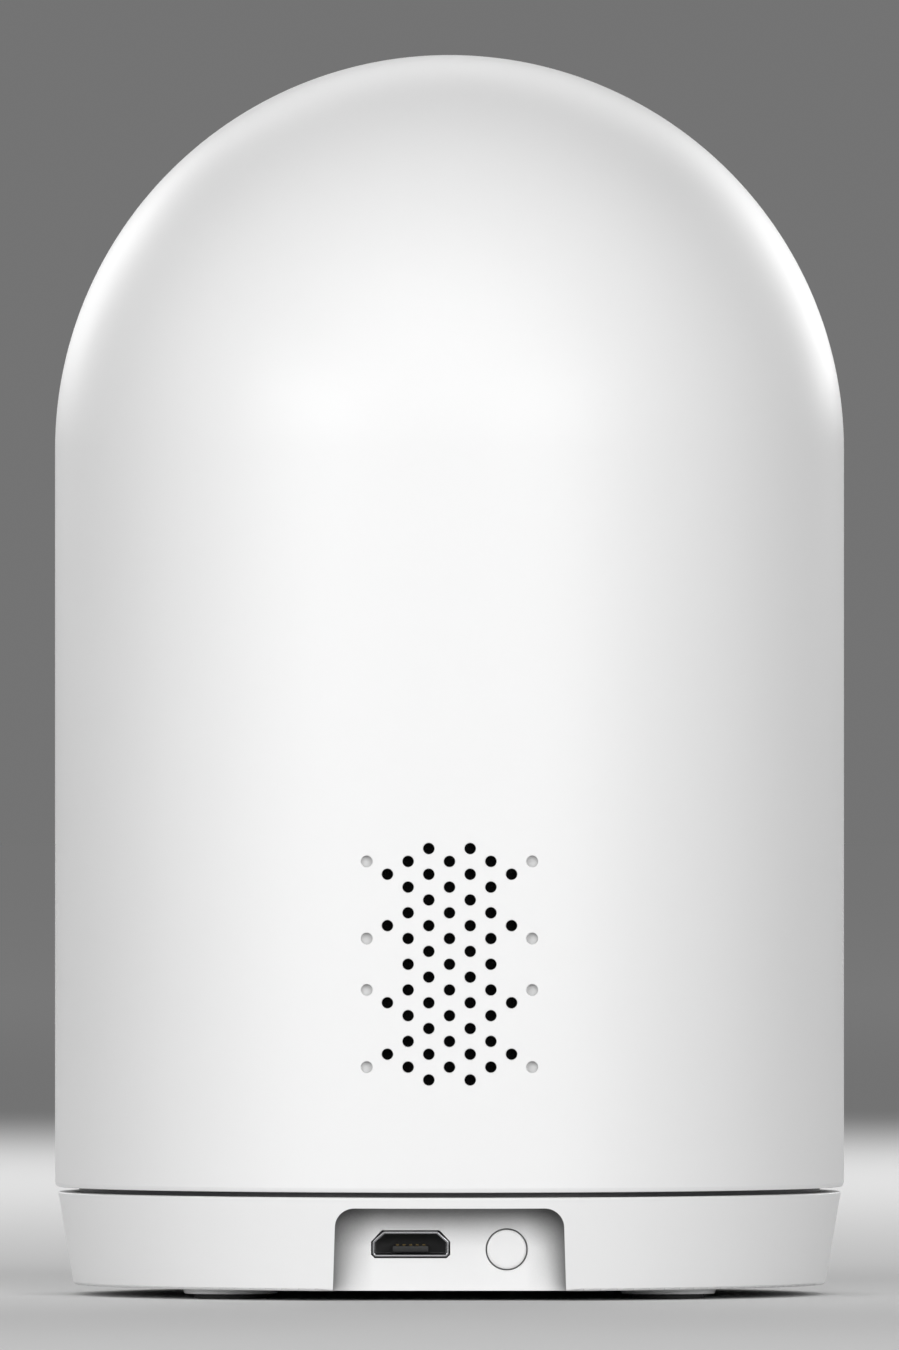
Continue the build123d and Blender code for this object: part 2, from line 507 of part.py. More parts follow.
def make_tact_plunger():
    return rod_y(PLUNGER_R, TACT_FRONT_Y - PLUNGER_IN, TACT_FRONT_Y + PLUNGER_OUT, BUTTON_AT)


# ---------------------------------------------------------------- head
SHELL_POSTS = on_circle(SHELL_POST_AT, SHELL_POST_TURNS)
PAN_EARS = [(-PAN_EAR_AT, PAN_MOTOR_AT[1]), (PAN_EAR_AT, PAN_MOTOR_AT[1])]


def grille_places(kind):
    """X and Z of the speaker holes, or of the blind dimples beside them, on a staggered grid."""
    places = []
    for row in range(GRILLE_ROWS):
        z = GRILLE_Z + ((GRILLE_ROWS - 1) / 2 - row) * GRILLE_ROW
        if kind == "dimple":
            columns = (-4, 4) if row in DIMPLE_ROWS else ()
        elif row % 2:
            columns = (-2, 0, 2)
        else:
            columns = (-3, -1, 1, 3) if row in WIDE_ROWS else (-1, 1)
        places += [(column * GRILLE_COLUMN, z) for column in columns]
    return places


def make_head_shell():
    outer = capsule_body(BODY_R, HEAD_Z + RIM_UPWARD)
    outer += cone_z(BODY_R - RIM_INWARD, BODY_R, HEAD_Z, HEAD_Z + RIM_UPWARD)
    shell = outer - capsule_body(BODY_R - SHELL_WALL, HEAD_Z - CUT)
    for place in SHELL_POSTS:
        shell += rod_z(SHELL_POST_R, FLOOR_TOP, SHELL_POST_TOP, place) & rod_z(BODY_R - 1, 0, FAR)
        shell -= rod_z(PILOT_R, FLOOR_TOP - CUT, FLOOR_TOP + 6, place)
    shell -= slot_body(SLOT_HALF + TRIM_WALL)
    holes = [rod_y(GRILLE_HOLE_R, 30.0, 45.0, place) for place in grille_places("hole")]
    for x, z in grille_places("dimple"):
        surface = math.sqrt(BODY_R**2 - x**2)
        holes.append(rod_y(GRILLE_HOLE_R, surface - DIMPLE_DEPTH, 45.0, (x, z)))
    return shell - together(holes)


def make_head_floor():
    floor = rod_z(FLOOR_R, HEAD_Z, FLOOR_TOP) + rod_z(COLLAR_R, HEAD_Z, COLLAR_TOP)
    floor -= rod_z(COLLAR_BORE_R, HEAD_Z - CUT, HUB_FLANGE_TOP + 0.2)
    floor -= rod_z(HUB_R + 0.08, 0, 30)
    track = ring_z(PAN_STOP_R + TRACK_HALF, PAN_STOP_R - TRACK_HALF, HEAD_Z - CUT, HEAD_Z + 1.0)
    floor -= track - block((-STOP_HALF, STOP_HALF), (-30, 0), (0, 20))
    for place in SHELL_POSTS:
        floor -= rod_z(SINK_R, HEAD_Z - CUT, HEAD_Z + SCREW_HEAD_H + 0.1, place)
        floor -= rod_z(THROUGH_R, HEAD_Z - CUT, 20, place)
    for place in YOKE_FEET:
        floor += rod_z(FLOOR_POST_R, FLOOR_TOP - JOIN, YOKE_LOW, place)
        floor -= rod_z(PILOT_R, YOKE_LOW + YOKE_FOOT - SCREW_LONG - PILOT_SPARE, YOKE_LOW + CUT, place)
    for place in PAN_EARS:
        floor += rod_z(FLOOR_POST_R, FLOOR_TOP - JOIN, MOTOR_FACE, place)
        floor -= rod_z(PILOT_R, MOTOR_FACE + MOTOR_PLATE - SCREW_LONG - PILOT_SPARE, MOTOR_FACE + CUT, place)
    return floor


def make_head_screws():
    found = screws_up(SHELL_POSTS, HEAD_Z + SCREW_HEAD_H + 0.1)
    found += screws_down(YOKE_FEET, YOKE_LOW + YOKE_FOOT) + screws_down(MAIN_POSTS, MAIN_TOP)
    return together(found + screws_down(PAN_EARS, MOTOR_FACE + MOTOR_PLATE))


def make_slot_trim():
    """Dark liner of the slot: from the shell's outer face in to the ball."""
    sleeve = slot_body(SLOT_HALF + TRIM_WALL - 0.02) - slot_body(SLOT_HALF, inner=14.0, outer=61.0)
    sleeve &= capsule_body(BODY_R - TRIM_SINK, HEAD_Z)
    sleeve -= ball_at(BALL_R + BALL_GAP)
    return sleeve - block((-FAR, FAR), (-BALL_R * TRIM_OPEN, FAR), (0, DOME_Z))


def make_yoke():
    """Frame that carries the ball: two arms on feet, joined by a bridge that holds the main board."""
    yoke = block((-YOKE_IN - CUT, YOKE_IN + CUT), (-YOKE_HALF, YOKE_HALF), BRIDGE)
    side_view = Polyline(
        (-YOKE_HALF, YOKE_LOW), (YOKE_HALF, YOKE_LOW), (YOKE_HALF_TOP, DOME_Z), (-YOKE_HALF_TOP, DOME_Z),
        close=True,
    )
    for side in (-1, 1):
        faces = sorted((side * YOKE_IN, side * YOKE_OUT))
        arm = Pos(faces[0], 0, 0) * extrude(Plane.YZ * make_face(side_view), YOKE_OUT - YOKE_IN)
        arm += rod_x(YOKE_HALF_TOP, *faces, (0, DOME_Z))
        foot = sorted((side * YOKE_IN, side * YOKE_FOOT_OUT))
        arm += block(foot, (-YOKE_HALF, YOKE_HALF), (YOKE_LOW, YOKE_LOW + YOKE_FOOT))
        yoke += arm - rod_x(BUSH_R + SLIP, -FAR, FAR, (0, DOME_Z))
    for place in MAIN_POSTS:
        yoke += rod_z(BRIDGE_POST_R, BRIDGE[1] - JOIN, MAIN_LOW, place)
        yoke -= rod_z(PILOT_R, MAIN_TOP - SCREW_LONG - PILOT_SPARE, MAIN_LOW + CUT, place)
    for place in YOKE_FEET:
        yoke -= rod_z(THROUGH_R, YOKE_LOW - CUT, YOKE_LOW + YOKE_FOOT + CUT, place)
    for place in TILT_PEGS:
        yoke -= rod_x(TILT_PEG_HOLE_R, -YOKE_OUT - CUT, -YOKE_IN + CUT, place)
    lead_gap = block((-5, 5), (-4, 4), (30, 42))
    return yoke - lead_gap


def make_tilt_bushes():
    bushes = []
    for side in (-1, 1):
        bush = rod_x(BUSH_R, *sorted((side * YOKE_IN, side * YOKE_OUT)), (0, DOME_Z))
        flange = sorted((side * YOKE_OUT, side * (YOKE_OUT + BUSH_FLANGE)))
        bush += rod_x(BUSH_FLANGE_R, *flange, (0, DOME_Z))
        bushes.append(bush - rod_x(AXLE_R + SLIP, -FAR, FAR, (0, DOME_Z)))
    return together(bushes)


def make_tilt_gear():
    """Fixed gear on the yoke's arm. The tilt motor's pinion walks round it."""
    wheel = across(gear(TILT_MODULE, TILT_TEETH, *TILT_GEAR, turn=TILT_SHAFT_ANGLE), (0, DOME_Z))
    for place in TILT_PEGS:
        wheel += rod_x(TILT_PEG_R, -YOKE_OUT + 0.3, -YOKE_IN + JOIN, place)
    return wheel - rod_x(AXLE_R + 0.4, -FAR, 0, (0, DOME_Z))


def make_main_board():
    board = block((-MAIN_HALF, MAIN_HALF), MAIN_Y, (MAIN_LOW, MAIN_TOP))
    board = fillet(board.edges().filter_by(Axis.Z), MAIN_CORNER)
    for place in MAIN_POSTS:
        board -= rod_z(THROUGH_R, MAIN_LOW - CUT, MAIN_TOP + CUT, place)
    return board


def chip(x, y, width, depth, height):
    """A block standing on the main board."""
    across_x = (x - width / 2, x + width / 2)
    across_y = (y - depth / 2, y + depth / 2)
    return block(across_x, across_y, (MAIN_TOP, MAIN_TOP + height))


def make_main_board_chips():
    return together([chip(*size) for size in CHIPS])


def make_main_board_shield():
    return fillet(chip(*SHIELD).edges().filter_by(Axis.Z), SHIELD_CORNER)


def make_harness_plug():
    return block((-PLUG_HALF, PLUG_HALF), (-PLUG_DEPTH, PLUG_DEPTH), (PLUG_LOW, MAIN_LOW))


def make_wifi_antenna():
    """Flexible antenna stuck to the inside of the head's side wall."""
    wall = BODY_R - SHELL_WALL - SLIP
    film = ring_z(wall, wall - ANTENNA_THICK, *ANTENNA_Z)
    return film & block((-FAR, 0), (-ANTENNA_HALF, ANTENNA_HALF), (0, FAR + 10))


def make_speaker_mesh():
    wall = BODY_R - SHELL_WALL - SLIP
    sheet = ring_z(wall, wall - MESH_THICK, GRILLE_Z - MESH_TALL, GRILLE_Z + MESH_TALL)
    return sheet & block((-MESH_HALF, MESH_HALF), (20, 40), (0, FAR))


def make_speaker_frame():
    frame = about_grille(SPEAKER_HALF, SPEAKER_Y, SPEAKER_TALL)
    frame = fillet(frame.edges().filter_by(Axis.Y), SPEAKER_CORNER)
    hole = about_grille(CONE_HALF + CONE_GAP, (30, 40), CONE_TALL + CONE_GAP)
    frame -= fillet(hole.edges().filter_by(Axis.Y), CONE_CORNER + CONE_GAP)
    return frame + about_grille(SPEAKER_BAR_HALF, (SPEAKER_BAR_Y, SPEAKER_Y[0]), SPEAKER_BAR_TALL)


def make_speaker_cone():
    """Diaphragm with its rolled surround, as one thin pressed piece."""
    edge = about_grille(CONE_HALF, CONE_Y, CONE_TALL)
    edge = fillet(edge.edges().filter_by(Axis.Y), CONE_CORNER)
    roll = about_grille(CONE_HALF - ROLL_IN, ROLL_Y, CONE_TALL - ROLL_IN)
    roll = fillet(roll.edges().filter_by(Axis.Y), CONE_CORNER - 0.7)
    roll = fillet(roll.edges().group_by(Axis.Y)[-1], ROLL_ROUND)
    dish = about_grille(CONE_HALF - DISH_IN, (DISH_Y, 36), CONE_TALL - DISH_IN)
    return edge + roll - fillet(dish.edges().filter_by(Axis.Y), CONE_CORNER - 1.5)


def make_speaker_magnet():
    cup = rod_y(MAGNET_R, *MAGNET_Y, (0, GRILLE_Z))
    return fillet(cup.edges().group_by(Axis.Y)[0], MAGNET_ROUND)


def make_speaker_box():
    """Sealed chamber behind the speaker. The speaker's frame closes its mouth."""
    box = block((-BOX_HALF, BOX_HALF), BOX_Y, (FLOOR_TOP, BOX_TOP))
    room = BOX_HALF - BOX_WALL
    depth = (BOX_Y[0] + BOX_WALL, BOX_Y[1] - BOX_WALL)
    box -= block((-room, room), depth, (FLOOR_TOP + BOX_WALL, BOX_TOP - BOX_WALL))
    return box - about_grille(BOX_MOUTH_HALF, (BOX_Y[1] - BOX_WALL - CUT, BOX_Y[1] + CUT), BOX_MOUTH_TALL)


# ---------------------------------------------------------------- stepper motors
TILT_EARS = [(TILT_MOTOR_CENTRE[0], TILT_MOTOR_CENTRE[1] + side * TILT_EAR_AT) for side in (-1, 1)]
TILT_SCREWS = [(TILT_SHAFT_AT[0] + y, TILT_SHAFT_AT[1] + z) for y, z in TILT_EARS]


def motor_can(radius, low, long, at):
    """Closed steel can of a small stepper, standing along Z, with a rolled edge at its far end."""
    can = rod_z(radius, low, low + long, at)
    return fillet(can.edges().group_by(Axis.Z)[-1], MOTOR_EDGE)


def motor_plate(radius, low, centre, shaft, ears):
    """Mounting plate with two ears, and the raised boss round the shaft."""
    height = (low, low + MOTOR_PLATE)
    plate = rod_z(radius, *height, centre) + rod_z(MOTOR_BOSS_R, low - MOTOR_BOSS, low + 0.2, shaft)
    limits = []
    for first, last in zip(*ears):
        middle = (first + last) / 2
        half = max(abs(first - last) / 2, EAR_R)
        limits.append((middle - half, middle + half))
    plate += block(*limits, height)
    for ear in ears:
        plate += rod_z(EAR_R, *height, ear)
    for ear in ears:
        plate -= rod_z(THROUGH_R, low - CUT, low + MOTOR_PLATE + CUT, ear)
    return plate - rod_z(SHAFT_R + SHAFT_GAP, low - MOTOR_BOSS - CUT, low + MOTOR_PLATE + CUT, shaft)


def make_pan_motor_can():
    return motor_can(PAN_MOTOR_R, MOTOR_FACE + MOTOR_PLATE, PAN_MOTOR_LONG, PAN_MOTOR_AT)


def make_pan_motor_plate():
    return motor_plate(PAN_MOTOR_R, MOTOR_FACE, PAN_MOTOR_AT, PAN_SHAFT_AT, PAN_EARS)


def make_pan_motor_shaft():
    return rod_z(SHAFT_R, PAN_PINION[0], MOTOR_FACE + SHAFT_IN, PAN_SHAFT_AT)


def make_pan_pinion():
    return Pos(*PAN_SHAFT_AT, 0) * pinion(PAN_MODULE, *PAN_PINION, turn=90 + HALF_TOOTH)


def lay_tilt_motor(solid):
    """The tilt motor lies across the ball. Its own drawing stands on Z, from its mounting face upwards."""
    return Pos(TILT_MOTOR_FACE, 0, 0) * across(solid, TILT_SHAFT_AT)


def make_tilt_motor_can():
    return lay_tilt_motor(motor_can(TILT_MOTOR_R, MOTOR_PLATE, TILT_MOTOR_LONG, TILT_MOTOR_CENTRE))


def make_tilt_motor_plate():
    return lay_tilt_motor(motor_plate(TILT_MOTOR_R, 0, TILT_MOTOR_CENTRE, (0, 0), TILT_EARS))


def make_tilt_motor_shaft():
    return lay_tilt_motor(rod_z(SHAFT_R, TILT_PINION[0] - TILT_MOTOR_FACE, SHAFT_IN))


def make_tilt_pinion():
    wheel = pinion(TILT_MODULE, *TILT_PINION, turn=TILT_SHAFT_ANGLE + 180 + HALF_TOOTH)
    return across(wheel, TILT_SHAFT_AT)


# ---------------------------------------------------------------- camera ball
def card_frame(out, size):
    """A box centred on the memory card's way in, a distance out from the ball's centre."""
    return Pos(0, 0, DOME_Z) * Rot(-CARD_ANGLE, 0, 0) * Pos(0, -out, 0) * Box(*size)


def ball_slab(half):
    return block((-half, half), (-FAR, FAR), (0, 150))


def make_whole_ball():
    """Both halves of the ball in one: the hollow, the axle stubs, and the posts and ribs inside."""
    inner_r, inner_flat = BALL_R - BALL_WALL, BALL_FLAT - BALL_SIDE_WALL
    room = ball_at(inner_r + JOIN)  # limits what stands on the inside, with some overlap
    shell = (ball_at(BALL_R) & ball_slab(BALL_FLAT)) - (ball_at(inner_r) & ball_slab(inner_flat))
    for side in (-1, 1):
        stub = sorted((side * (BALL_FLAT - 1), side * (YOKE_OUT + AXLE_OUT)))
        shell += rod_x(AXLE_R, *stub, (0, DOME_Z))
    shell -= rod_x(AXLE_BORE_R, -FAR, FAR, (0, DOME_Z))
    for x, z in BALL_POSTS:
        wall = math.copysign(inner_flat + JOIN, x)
        shell += rod_y(BALL_POST_R, BALL_POST_FRONT_Y, 35, (x, z)) & room
        rib = block(sorted((x, wall)), (BALL_POST_FRONT_Y, BALL_RIB_BACK_Y), (z - BALL_RIB, z + BALL_RIB))
        shell += rib & room
    for place in TILT_SCREWS:
        shell += rod_x(EAR_POST_R, -BALL_FLAT + JOIN, TILT_MOTOR_FACE, place)
        shell -= rod_x(PILOT_R, TILT_MOTOR_FACE + MOTOR_PLATE - SCREW_LONG - 0.1, -10, place)
    shell -= rod_x(SHAFT_HOLE_R, -30, -BALL_FLAT + 3, TILT_SHAFT_AT)
    shell += ring_y(LEDGE_R, LEDGE_BORE_R, LEDGE_FRONT_Y, IR_BOARD[0], (0, DOME_Z)) & room
    shell -= rod_y(FACE_R, -FAR, -20, (0, DOME_Z)) - ball_at(inner_r - SLIP)
    return shell - card_frame(CARD_SLOT_OUT, CARD_SLOT)


def make_ball_front():
    front = make_whole_ball() & block((-FAR, FAR), (-FAR, BALL_SPLIT_Y), (0, 150))
    for place in BALL_POSTS:
        front -= rod_y(PILOT_R, BALL_SCREW_Y - SCREW_LONG - PILOT_SPARE, FAR, place)
    return front


def make_ball_back():
    back = make_whole_ball() & block((-FAR, FAR), (BALL_SPLIT_Y, FAR), (0, 150))
    for place in BALL_POSTS:
        back -= rod_y(SINK_R, BALL_SCREW_Y, FAR, place)
        back -= rod_y(THROUGH_R, 0, FAR, place)
    return back


def make_ball_screws():
    found = [Pos(x, BALL_SCREW_Y, z) * Rot(-90, 0, 0) * screw() for x, z in BALL_POSTS]
    seat = TILT_MOTOR_FACE + MOTOR_PLATE
    return together(found + [Pos(seat, y, z) * Rot(0, 90, 0) * screw() for y, z in TILT_SCREWS])


def make_face_cover():
    cover = ball_at(BALL_R) - ball_at(BALL_R - BALL_WALL)
    cover &= rod_y(FACE_R - FACE_GAP, -FAR, -20, (0, DOME_Z))
    cover -= rod_y(LENS_HOLE_R, -FAR, 0, (0, DOME_Z))
    cover -= rod_y(MIC_HOLE_R, -FAR, 0, MIC_AT)
    return cover - rod_y(LIGHT_HOLE_R, -FAR, 0, LIGHT_AT)


def make_lens_ring():
    """Conical bezel between the face cover and the lens."""
    return turned(LENS_RING)


def make_lens_barrel():
    """Lens barrel: front rim, collar, then the thread that screws into the holder, drawn plain."""
    return turned(LENS_BARREL)


def make_lens_front_glass():
    blank = rod_y(GLASS_R, -GLASS_CROWN, -GLASS_BACK, (0, DOME_Z))
    return blank & Pos(0, -(GLASS_CROWN - GLASS_CURVE), DOME_Z) * Sphere(GLASS_CURVE)


def make_lens_rear_glass():
    return rod_y(REAR_GLASS_R, -REAR_GLASS[1], -REAR_GLASS[0], (0, DOME_Z))


def make_lens_holder():
    height = (DOME_Z - HOLDER_HALF, DOME_Z + HOLDER_HALF)
    holder = block((-HOLDER_HALF, HOLDER_HALF), (HOLDER_FRONT_Y, SENSOR_BOARD[0]), height)
    holder = fillet(holder.edges().filter_by(Axis.Y), HOLDER_CORNER)
    holder -= rod_y(HOLDER_BORE_R, -30, HOLDER_BORE_Y, (0, DOME_Z))
    return holder - rod_y(HOLDER_LIGHT_R, -30, 0, (0, DOME_Z))


def make_sensor_board():
    height = (DOME_Z - SENSOR_BOARD_HALF, DOME_Z + SENSOR_BOARD_HALF)
    return block((-SENSOR_BOARD_HALF, SENSOR_BOARD_HALF), SENSOR_BOARD, height)


def make_image_sensor():
    depth = (SENSOR_BOARD[0] - SENSOR_THICK, SENSOR_BOARD[0])
    return block((-SENSOR_HALF, SENSOR_HALF), depth, (DOME_Z - SENSOR_TALL, DOME_Z + SENSOR_TALL))


def make_board_pillars():
    """Spacers that hold the sensor board behind the infrared board."""
    corners = [(sx * PILLAR_AT, DOME_Z + sz * PILLAR_AT) for sx in (-1, 1) for sz in (-1, 1)]
    return together([rod_y(PILLAR_R, IR_BOARD[1], SENSOR_BOARD[0], corner) for corner in corners])


def make_ir_board():
    return ring_y(IR_BOARD_R, IR_BOARD_BORE_R, *IR_BOARD, (0, DOME_Z))


def make_ir_leds():
    """Infrared lamps in a ring on the board: a square body each, with a clear dome."""
    front = IR_BOARD[0]
    leds = []
    for k in range(LEDS):
        turn = (k + 0.5) * 360 / LEDS
        x, z = on_circle(LED_RING_R, [turn])[0]
        place = Pos(x, front - LED_THICK / 2, DOME_Z + z) * Rot(0, -turn, 0)
        body = place * Box(LED_BODY, LED_THICK, LED_BODY)
        dome = Pos(x, front - LED_THICK, DOME_Z + z) * Sphere(LED_LENS_R)
        leds.append(body + (dome & rod_y(LED_LENS_R + CUT, -FAR, front - 1.0, (x, DOME_Z + z))))
    return together(leds)


def make_microphone():
    return rod_y(MIC_R, IR_BOARD[0] - MIC_TALL, IR_BOARD[0], MIC_AT)


def make_status_light():
    """Clear light pipe from the indicator on the board to the face."""
    pipe = rod_y(LIGHT_PIPE_R, LIGHT_PIPE_FRONT_Y, IR_BOARD[0], LIGHT_AT)
    return pipe + rod_y(LIGHT_FOOT_R, IR_BOARD[0] - LIGHT_FOOT, IR_BOARD[0], LIGHT_AT)


def make_sd_socket():
    """Push-in memory card socket under the lens, its mouth behind the slot in the ball."""
    return card_frame(CARD_CASE_OUT, CARD_CASE) - card_frame(CARD_ROOM_OUT, CARD_ROOM)


# ---------------------------------------------------------------- every piece
MAKERS = [
    make_base_shell, make_base_plate, make_rubber_feet, make_base_screws, make_tripod_insert,
    make_base_weight, make_slide_ring, make_pan_hub, make_pan_gear, make_thrust_washer, make_base_board,
    make_usb_shell, make_usb_tongue, make_usb_contacts, make_tact_switch, make_pan_harness,
    make_reset_button_cap, make_tact_plunger, make_head_shell, make_head_floor, make_head_screws,
    make_slot_trim, make_yoke, make_tilt_bushes, make_tilt_gear, make_main_board, make_main_board_chips,
    make_main_board_shield, make_harness_plug, make_wifi_antenna, make_speaker_mesh, make_speaker_frame,
    make_speaker_cone, make_speaker_magnet, make_speaker_box, make_pan_motor_can, make_pan_motor_plate,
    make_pan_motor_shaft, make_pan_pinion, make_tilt_motor_can, make_tilt_motor_plate,
    make_tilt_motor_shaft, make_tilt_pinion, make_ball_front, make_ball_back, make_ball_screws,
    make_face_cover, make_lens_ring, make_lens_barrel, make_lens_front_glass, make_lens_rear_glass,
    make_lens_holder, make_sensor_board, make_image_sensor, make_board_pillars, make_ir_board,
    make_ir_leds, make_microphone, make_status_light, make_sd_socket,
]

os.makedirs("parts", exist_ok=True)
for maker in MAKERS:
    node = maker.__name__.removeprefix("make_")
    export_step(maker(), f"parts/{node}.step")
print(len(MAKERS), "pieces written")
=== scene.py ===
import math

import bmesh
import bpy
import numpy as np
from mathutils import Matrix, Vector


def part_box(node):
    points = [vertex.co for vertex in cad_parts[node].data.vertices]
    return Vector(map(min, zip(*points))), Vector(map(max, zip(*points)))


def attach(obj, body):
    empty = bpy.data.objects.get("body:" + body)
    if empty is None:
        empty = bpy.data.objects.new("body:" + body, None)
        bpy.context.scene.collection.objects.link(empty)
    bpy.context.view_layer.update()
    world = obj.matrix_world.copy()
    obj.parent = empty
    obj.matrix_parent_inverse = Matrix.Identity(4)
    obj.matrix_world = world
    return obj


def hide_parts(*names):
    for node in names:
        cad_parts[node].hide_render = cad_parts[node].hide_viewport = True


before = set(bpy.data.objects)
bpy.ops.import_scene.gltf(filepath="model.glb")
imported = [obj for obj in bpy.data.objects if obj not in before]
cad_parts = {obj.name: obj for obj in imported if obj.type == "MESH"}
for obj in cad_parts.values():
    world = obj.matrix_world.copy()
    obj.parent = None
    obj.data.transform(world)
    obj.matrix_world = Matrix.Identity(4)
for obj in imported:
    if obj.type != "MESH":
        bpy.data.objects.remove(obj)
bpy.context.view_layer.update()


# -------- base shell and base plate
# The fixed foot of the camera: a shallow tapered cup and the plate that closes it from below. Both are
# injection-moulded ABS in neutral white with a fine satin grain, and the bay at the back holds the
# socket and the reset button.
WHITE_ABS = "#f0f0f0"
ABS_ROUGHNESS = 0.42
ABS_GRAIN_MM = 0.35  # real grain is about 0.05 mm; drawn coarser so that it shows at all


def linear(code):
    """An sRGB hex colour as linear red, green, blue and full alpha, by the sRGB curve."""
    c = np.array([int(code[i : i + 2], 16) for i in (1, 3, 5)]) / 255
    rgb = np.where(c <= 0.04045, c / 12.92, ((c + 0.055) / 1.055) ** 2.4)
    return (*rgb.tolist(), 1.0)


def add(tree, kind, inputs=None, **settings):
    """Adds one node. Each input is a value, or a (node, output name) pair to link from."""
    made = tree.nodes.new(kind)
    for name, value in settings.items():
        setattr(made, name, value)
    for name, value in (inputs or {}).items():
        if isinstance(value, tuple) and isinstance(value[0], bpy.types.Node):
            tree.links.new(value[0].outputs[value[1]], made.inputs[name])
        else:
            made.inputs[name].default_value = value
    return made


def spread(tree, source, low, high, span=(0.0, 1.0)):
    """Maps a factor from its span to the range from low to high."""
    return add(
        tree, "ShaderNodeMapRange",
        {"Value": source, "From Min": span[0], "From Max": span[1], "To Min": low, "To Max": high},
    )


def relief(tree, height, deep_mm, strength):
    """A bump of a depth in millimetres."""
    return add(tree, "ShaderNodeBump", {"Height": height, "Distance": deep_mm / 1000, "Strength": strength})


def noise(tree, vector, scale, detail=2.0):
    """A noise texture on a (node, output name) vector."""
    return add(tree, "ShaderNodeTexNoise", {"Vector": vector, "Scale": scale, "Detail": detail})


def new_material(name):
    """A material with an empty tree, and its object coordinates turned to millimetres."""
    made = bpy.data.materials.new(name)
    made.use_nodes = True
    tree = made.node_tree
    tree.nodes.clear()
    place = add(tree, "ShaderNodeTexCoord")
    mm = add(tree, "ShaderNodeMapping", {"Vector": (place, "Object"), "Scale": (1000, 1000, 1000)})
    return made, tree, mm


def finish_material(made, tree, shader, bump=None):
    """Joins the shader to the output, through a bump where there is one."""
    if bump is not None:
        tree.links.new(bump.outputs["Normal"], shader.inputs["Normal"])
    add(tree, "ShaderNodeOutputMaterial", {"Surface": (shader, "BSDF")})
    return made


def principled(made, tree, inputs, bump=None):
    """Ends a material in a principled shader with these inputs."""
    return finish_material(made, tree, add(tree, "ShaderNodeBsdfPrincipled", inputs), bump)


def shade_recesses(tree, tint, reach_mm, power):
    """Multiplies a colour by (the share of the sky above a point that the piece itself leaves open,
    within reach_mm) raised to power. It deepens the shading of recesses beyond what the lights of this
    scene give them; the plastic itself isn't darker there."""
    recess = add(
        tree, "ShaderNodeAmbientOcclusion", {"Distance": reach_mm / 1000}, samples=8, only_local=True
    )
    shade = add(tree, "ShaderNodeMath", {0: (recess, "AO"), 1: power}, operation="POWER")
    return add(
        tree, "ShaderNodeMix", {0: 1.0, 6: (tint, 2), 7: (shade, "Value")},
        data_type="RGBA", blend_type="MULTIPLY",
    )


def moulded(
    name, colour, roughness, grain_mm, grain_depth_mm=0.004, coat=0.0, specular=0.5, recess=None
):
    """Moulded or cast stuff: an even colour with a slight cloud in it, and a fine all-over grain.
    recess is the reach and the power that shade_recesses takes, where the piece has recesses; with it
    the colour carries painted shade, darker in the recesses."""
    made, tree, mm = new_material(name)
    cloud = noise(tree, (mm, "Vector"), 0.03, 3.0)
    rough = spread(tree, (cloud, "Fac"), roughness - 0.03, roughness + 0.03, (0.3, 0.7))
    dark = [0.975 * c for c in linear(colour)[:3]] + [1.0]
    tint = add(tree, "ShaderNodeMix", {0: (cloud, "Fac"), 6: dark, 7: linear(colour)}, data_type="RGBA")
    if recess is not None:
        tint = shade_recesses(tree, tint, *recess)
    grain = noise(tree, (mm, "Vector"), 1 / grain_mm)
    bump = relief(tree, (grain, "Fac"), grain_depth_mm, 0.6)
    return principled(
        made, tree,
        {"Base Color": (tint, 2), "Roughness": (rough, "Result"), "IOR": 1.5,
         "Specular IOR Level": specular, "Coat Weight": coat, "Coat Roughness": 0.04},
        bump,
    )


def dress(made, *nodes):
    """Gives CAD nodes a material in place of the one they came with."""
    for name in nodes:
        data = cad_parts[name].data
        data.materials.clear()
        data.materials.append(made)


# Both whites carry painted shade from shade_recesses: deep on the base shell, in its bay and other recesses,
# and light on the other white pieces, in the dimples, hole mouths and other shallow recesses.
base_abs = moulded("white_abs_painted_bay_shade", WHITE_ABS, ABS_ROUGHNESS, ABS_GRAIN_MM, recess=(4.0, 1.7))
dress(base_abs, "base_shell")
white_abs = moulded("white_abs_painted_recess_shade", WHITE_ABS, ABS_ROUGHNESS, ABS_GRAIN_MM, recess=(1.5, 0.35))
dress(white_abs, "base_plate")


# -------- rubber feet
# Four pads of black silicone rubber, stuck in the recesses of the base plate. Each has a soft moulded
# edge and three fine rings on the sole, and rubber is dull, so they only show as dark grey.
FOOT_AT = 21.46  # feet stand at plus and minus this in X and in Y, in millimetres
PAD_R = 3.58
PAD_TOP = 1.0
SOLE_RINGS = 3


def quarter(count):
    """Even steps from nothing to a quarter turn."""
    return np.linspace(0, np.pi / 2, count)


def softened(corners, radius, steps=4):
    """A closed outline with every corner replaced by an arc: corner plus the two cut-back points,
    joined by a circle about the point where their perpendiculars meet. radius is one or one each."""
    corners = np.asarray(corners, float)
    radius = np.broadcast_to(np.asarray(radius, float), (len(corners),))
    before = np.roll(corners, 1, 0) - corners
    after = np.roll(corners, -1, 0) - corners
    before /= np.linalg.norm(before, axis=1)[:, None]
    after /= np.linalg.norm(after, axis=1)[:, None]
    half = np.arccos(np.clip((before * after).sum(1), -1, 1)) / 2
    cut = radius / np.tan(half)
    middle = before + after
    middle /= np.linalg.norm(middle, axis=1)[:, None]
    centre = corners + middle * (radius / np.sin(half))[:, None]
    first = corners + before * cut[:, None] - centre
    last = corners + after * cut[:, None] - centre
    share = np.linspace(0, 1, steps + 1)[None, :, None]
    arc = first[:, None] * (1 - share) + last[:, None] * share
    length = np.linalg.norm(arc, axis=2, keepdims=True)
    arc = np.where(length > 1e-9, arc / np.maximum(length, 1e-9), 0) * radius[:, None, None]
    return (centre[:, None] + arc).reshape(-1, 2)


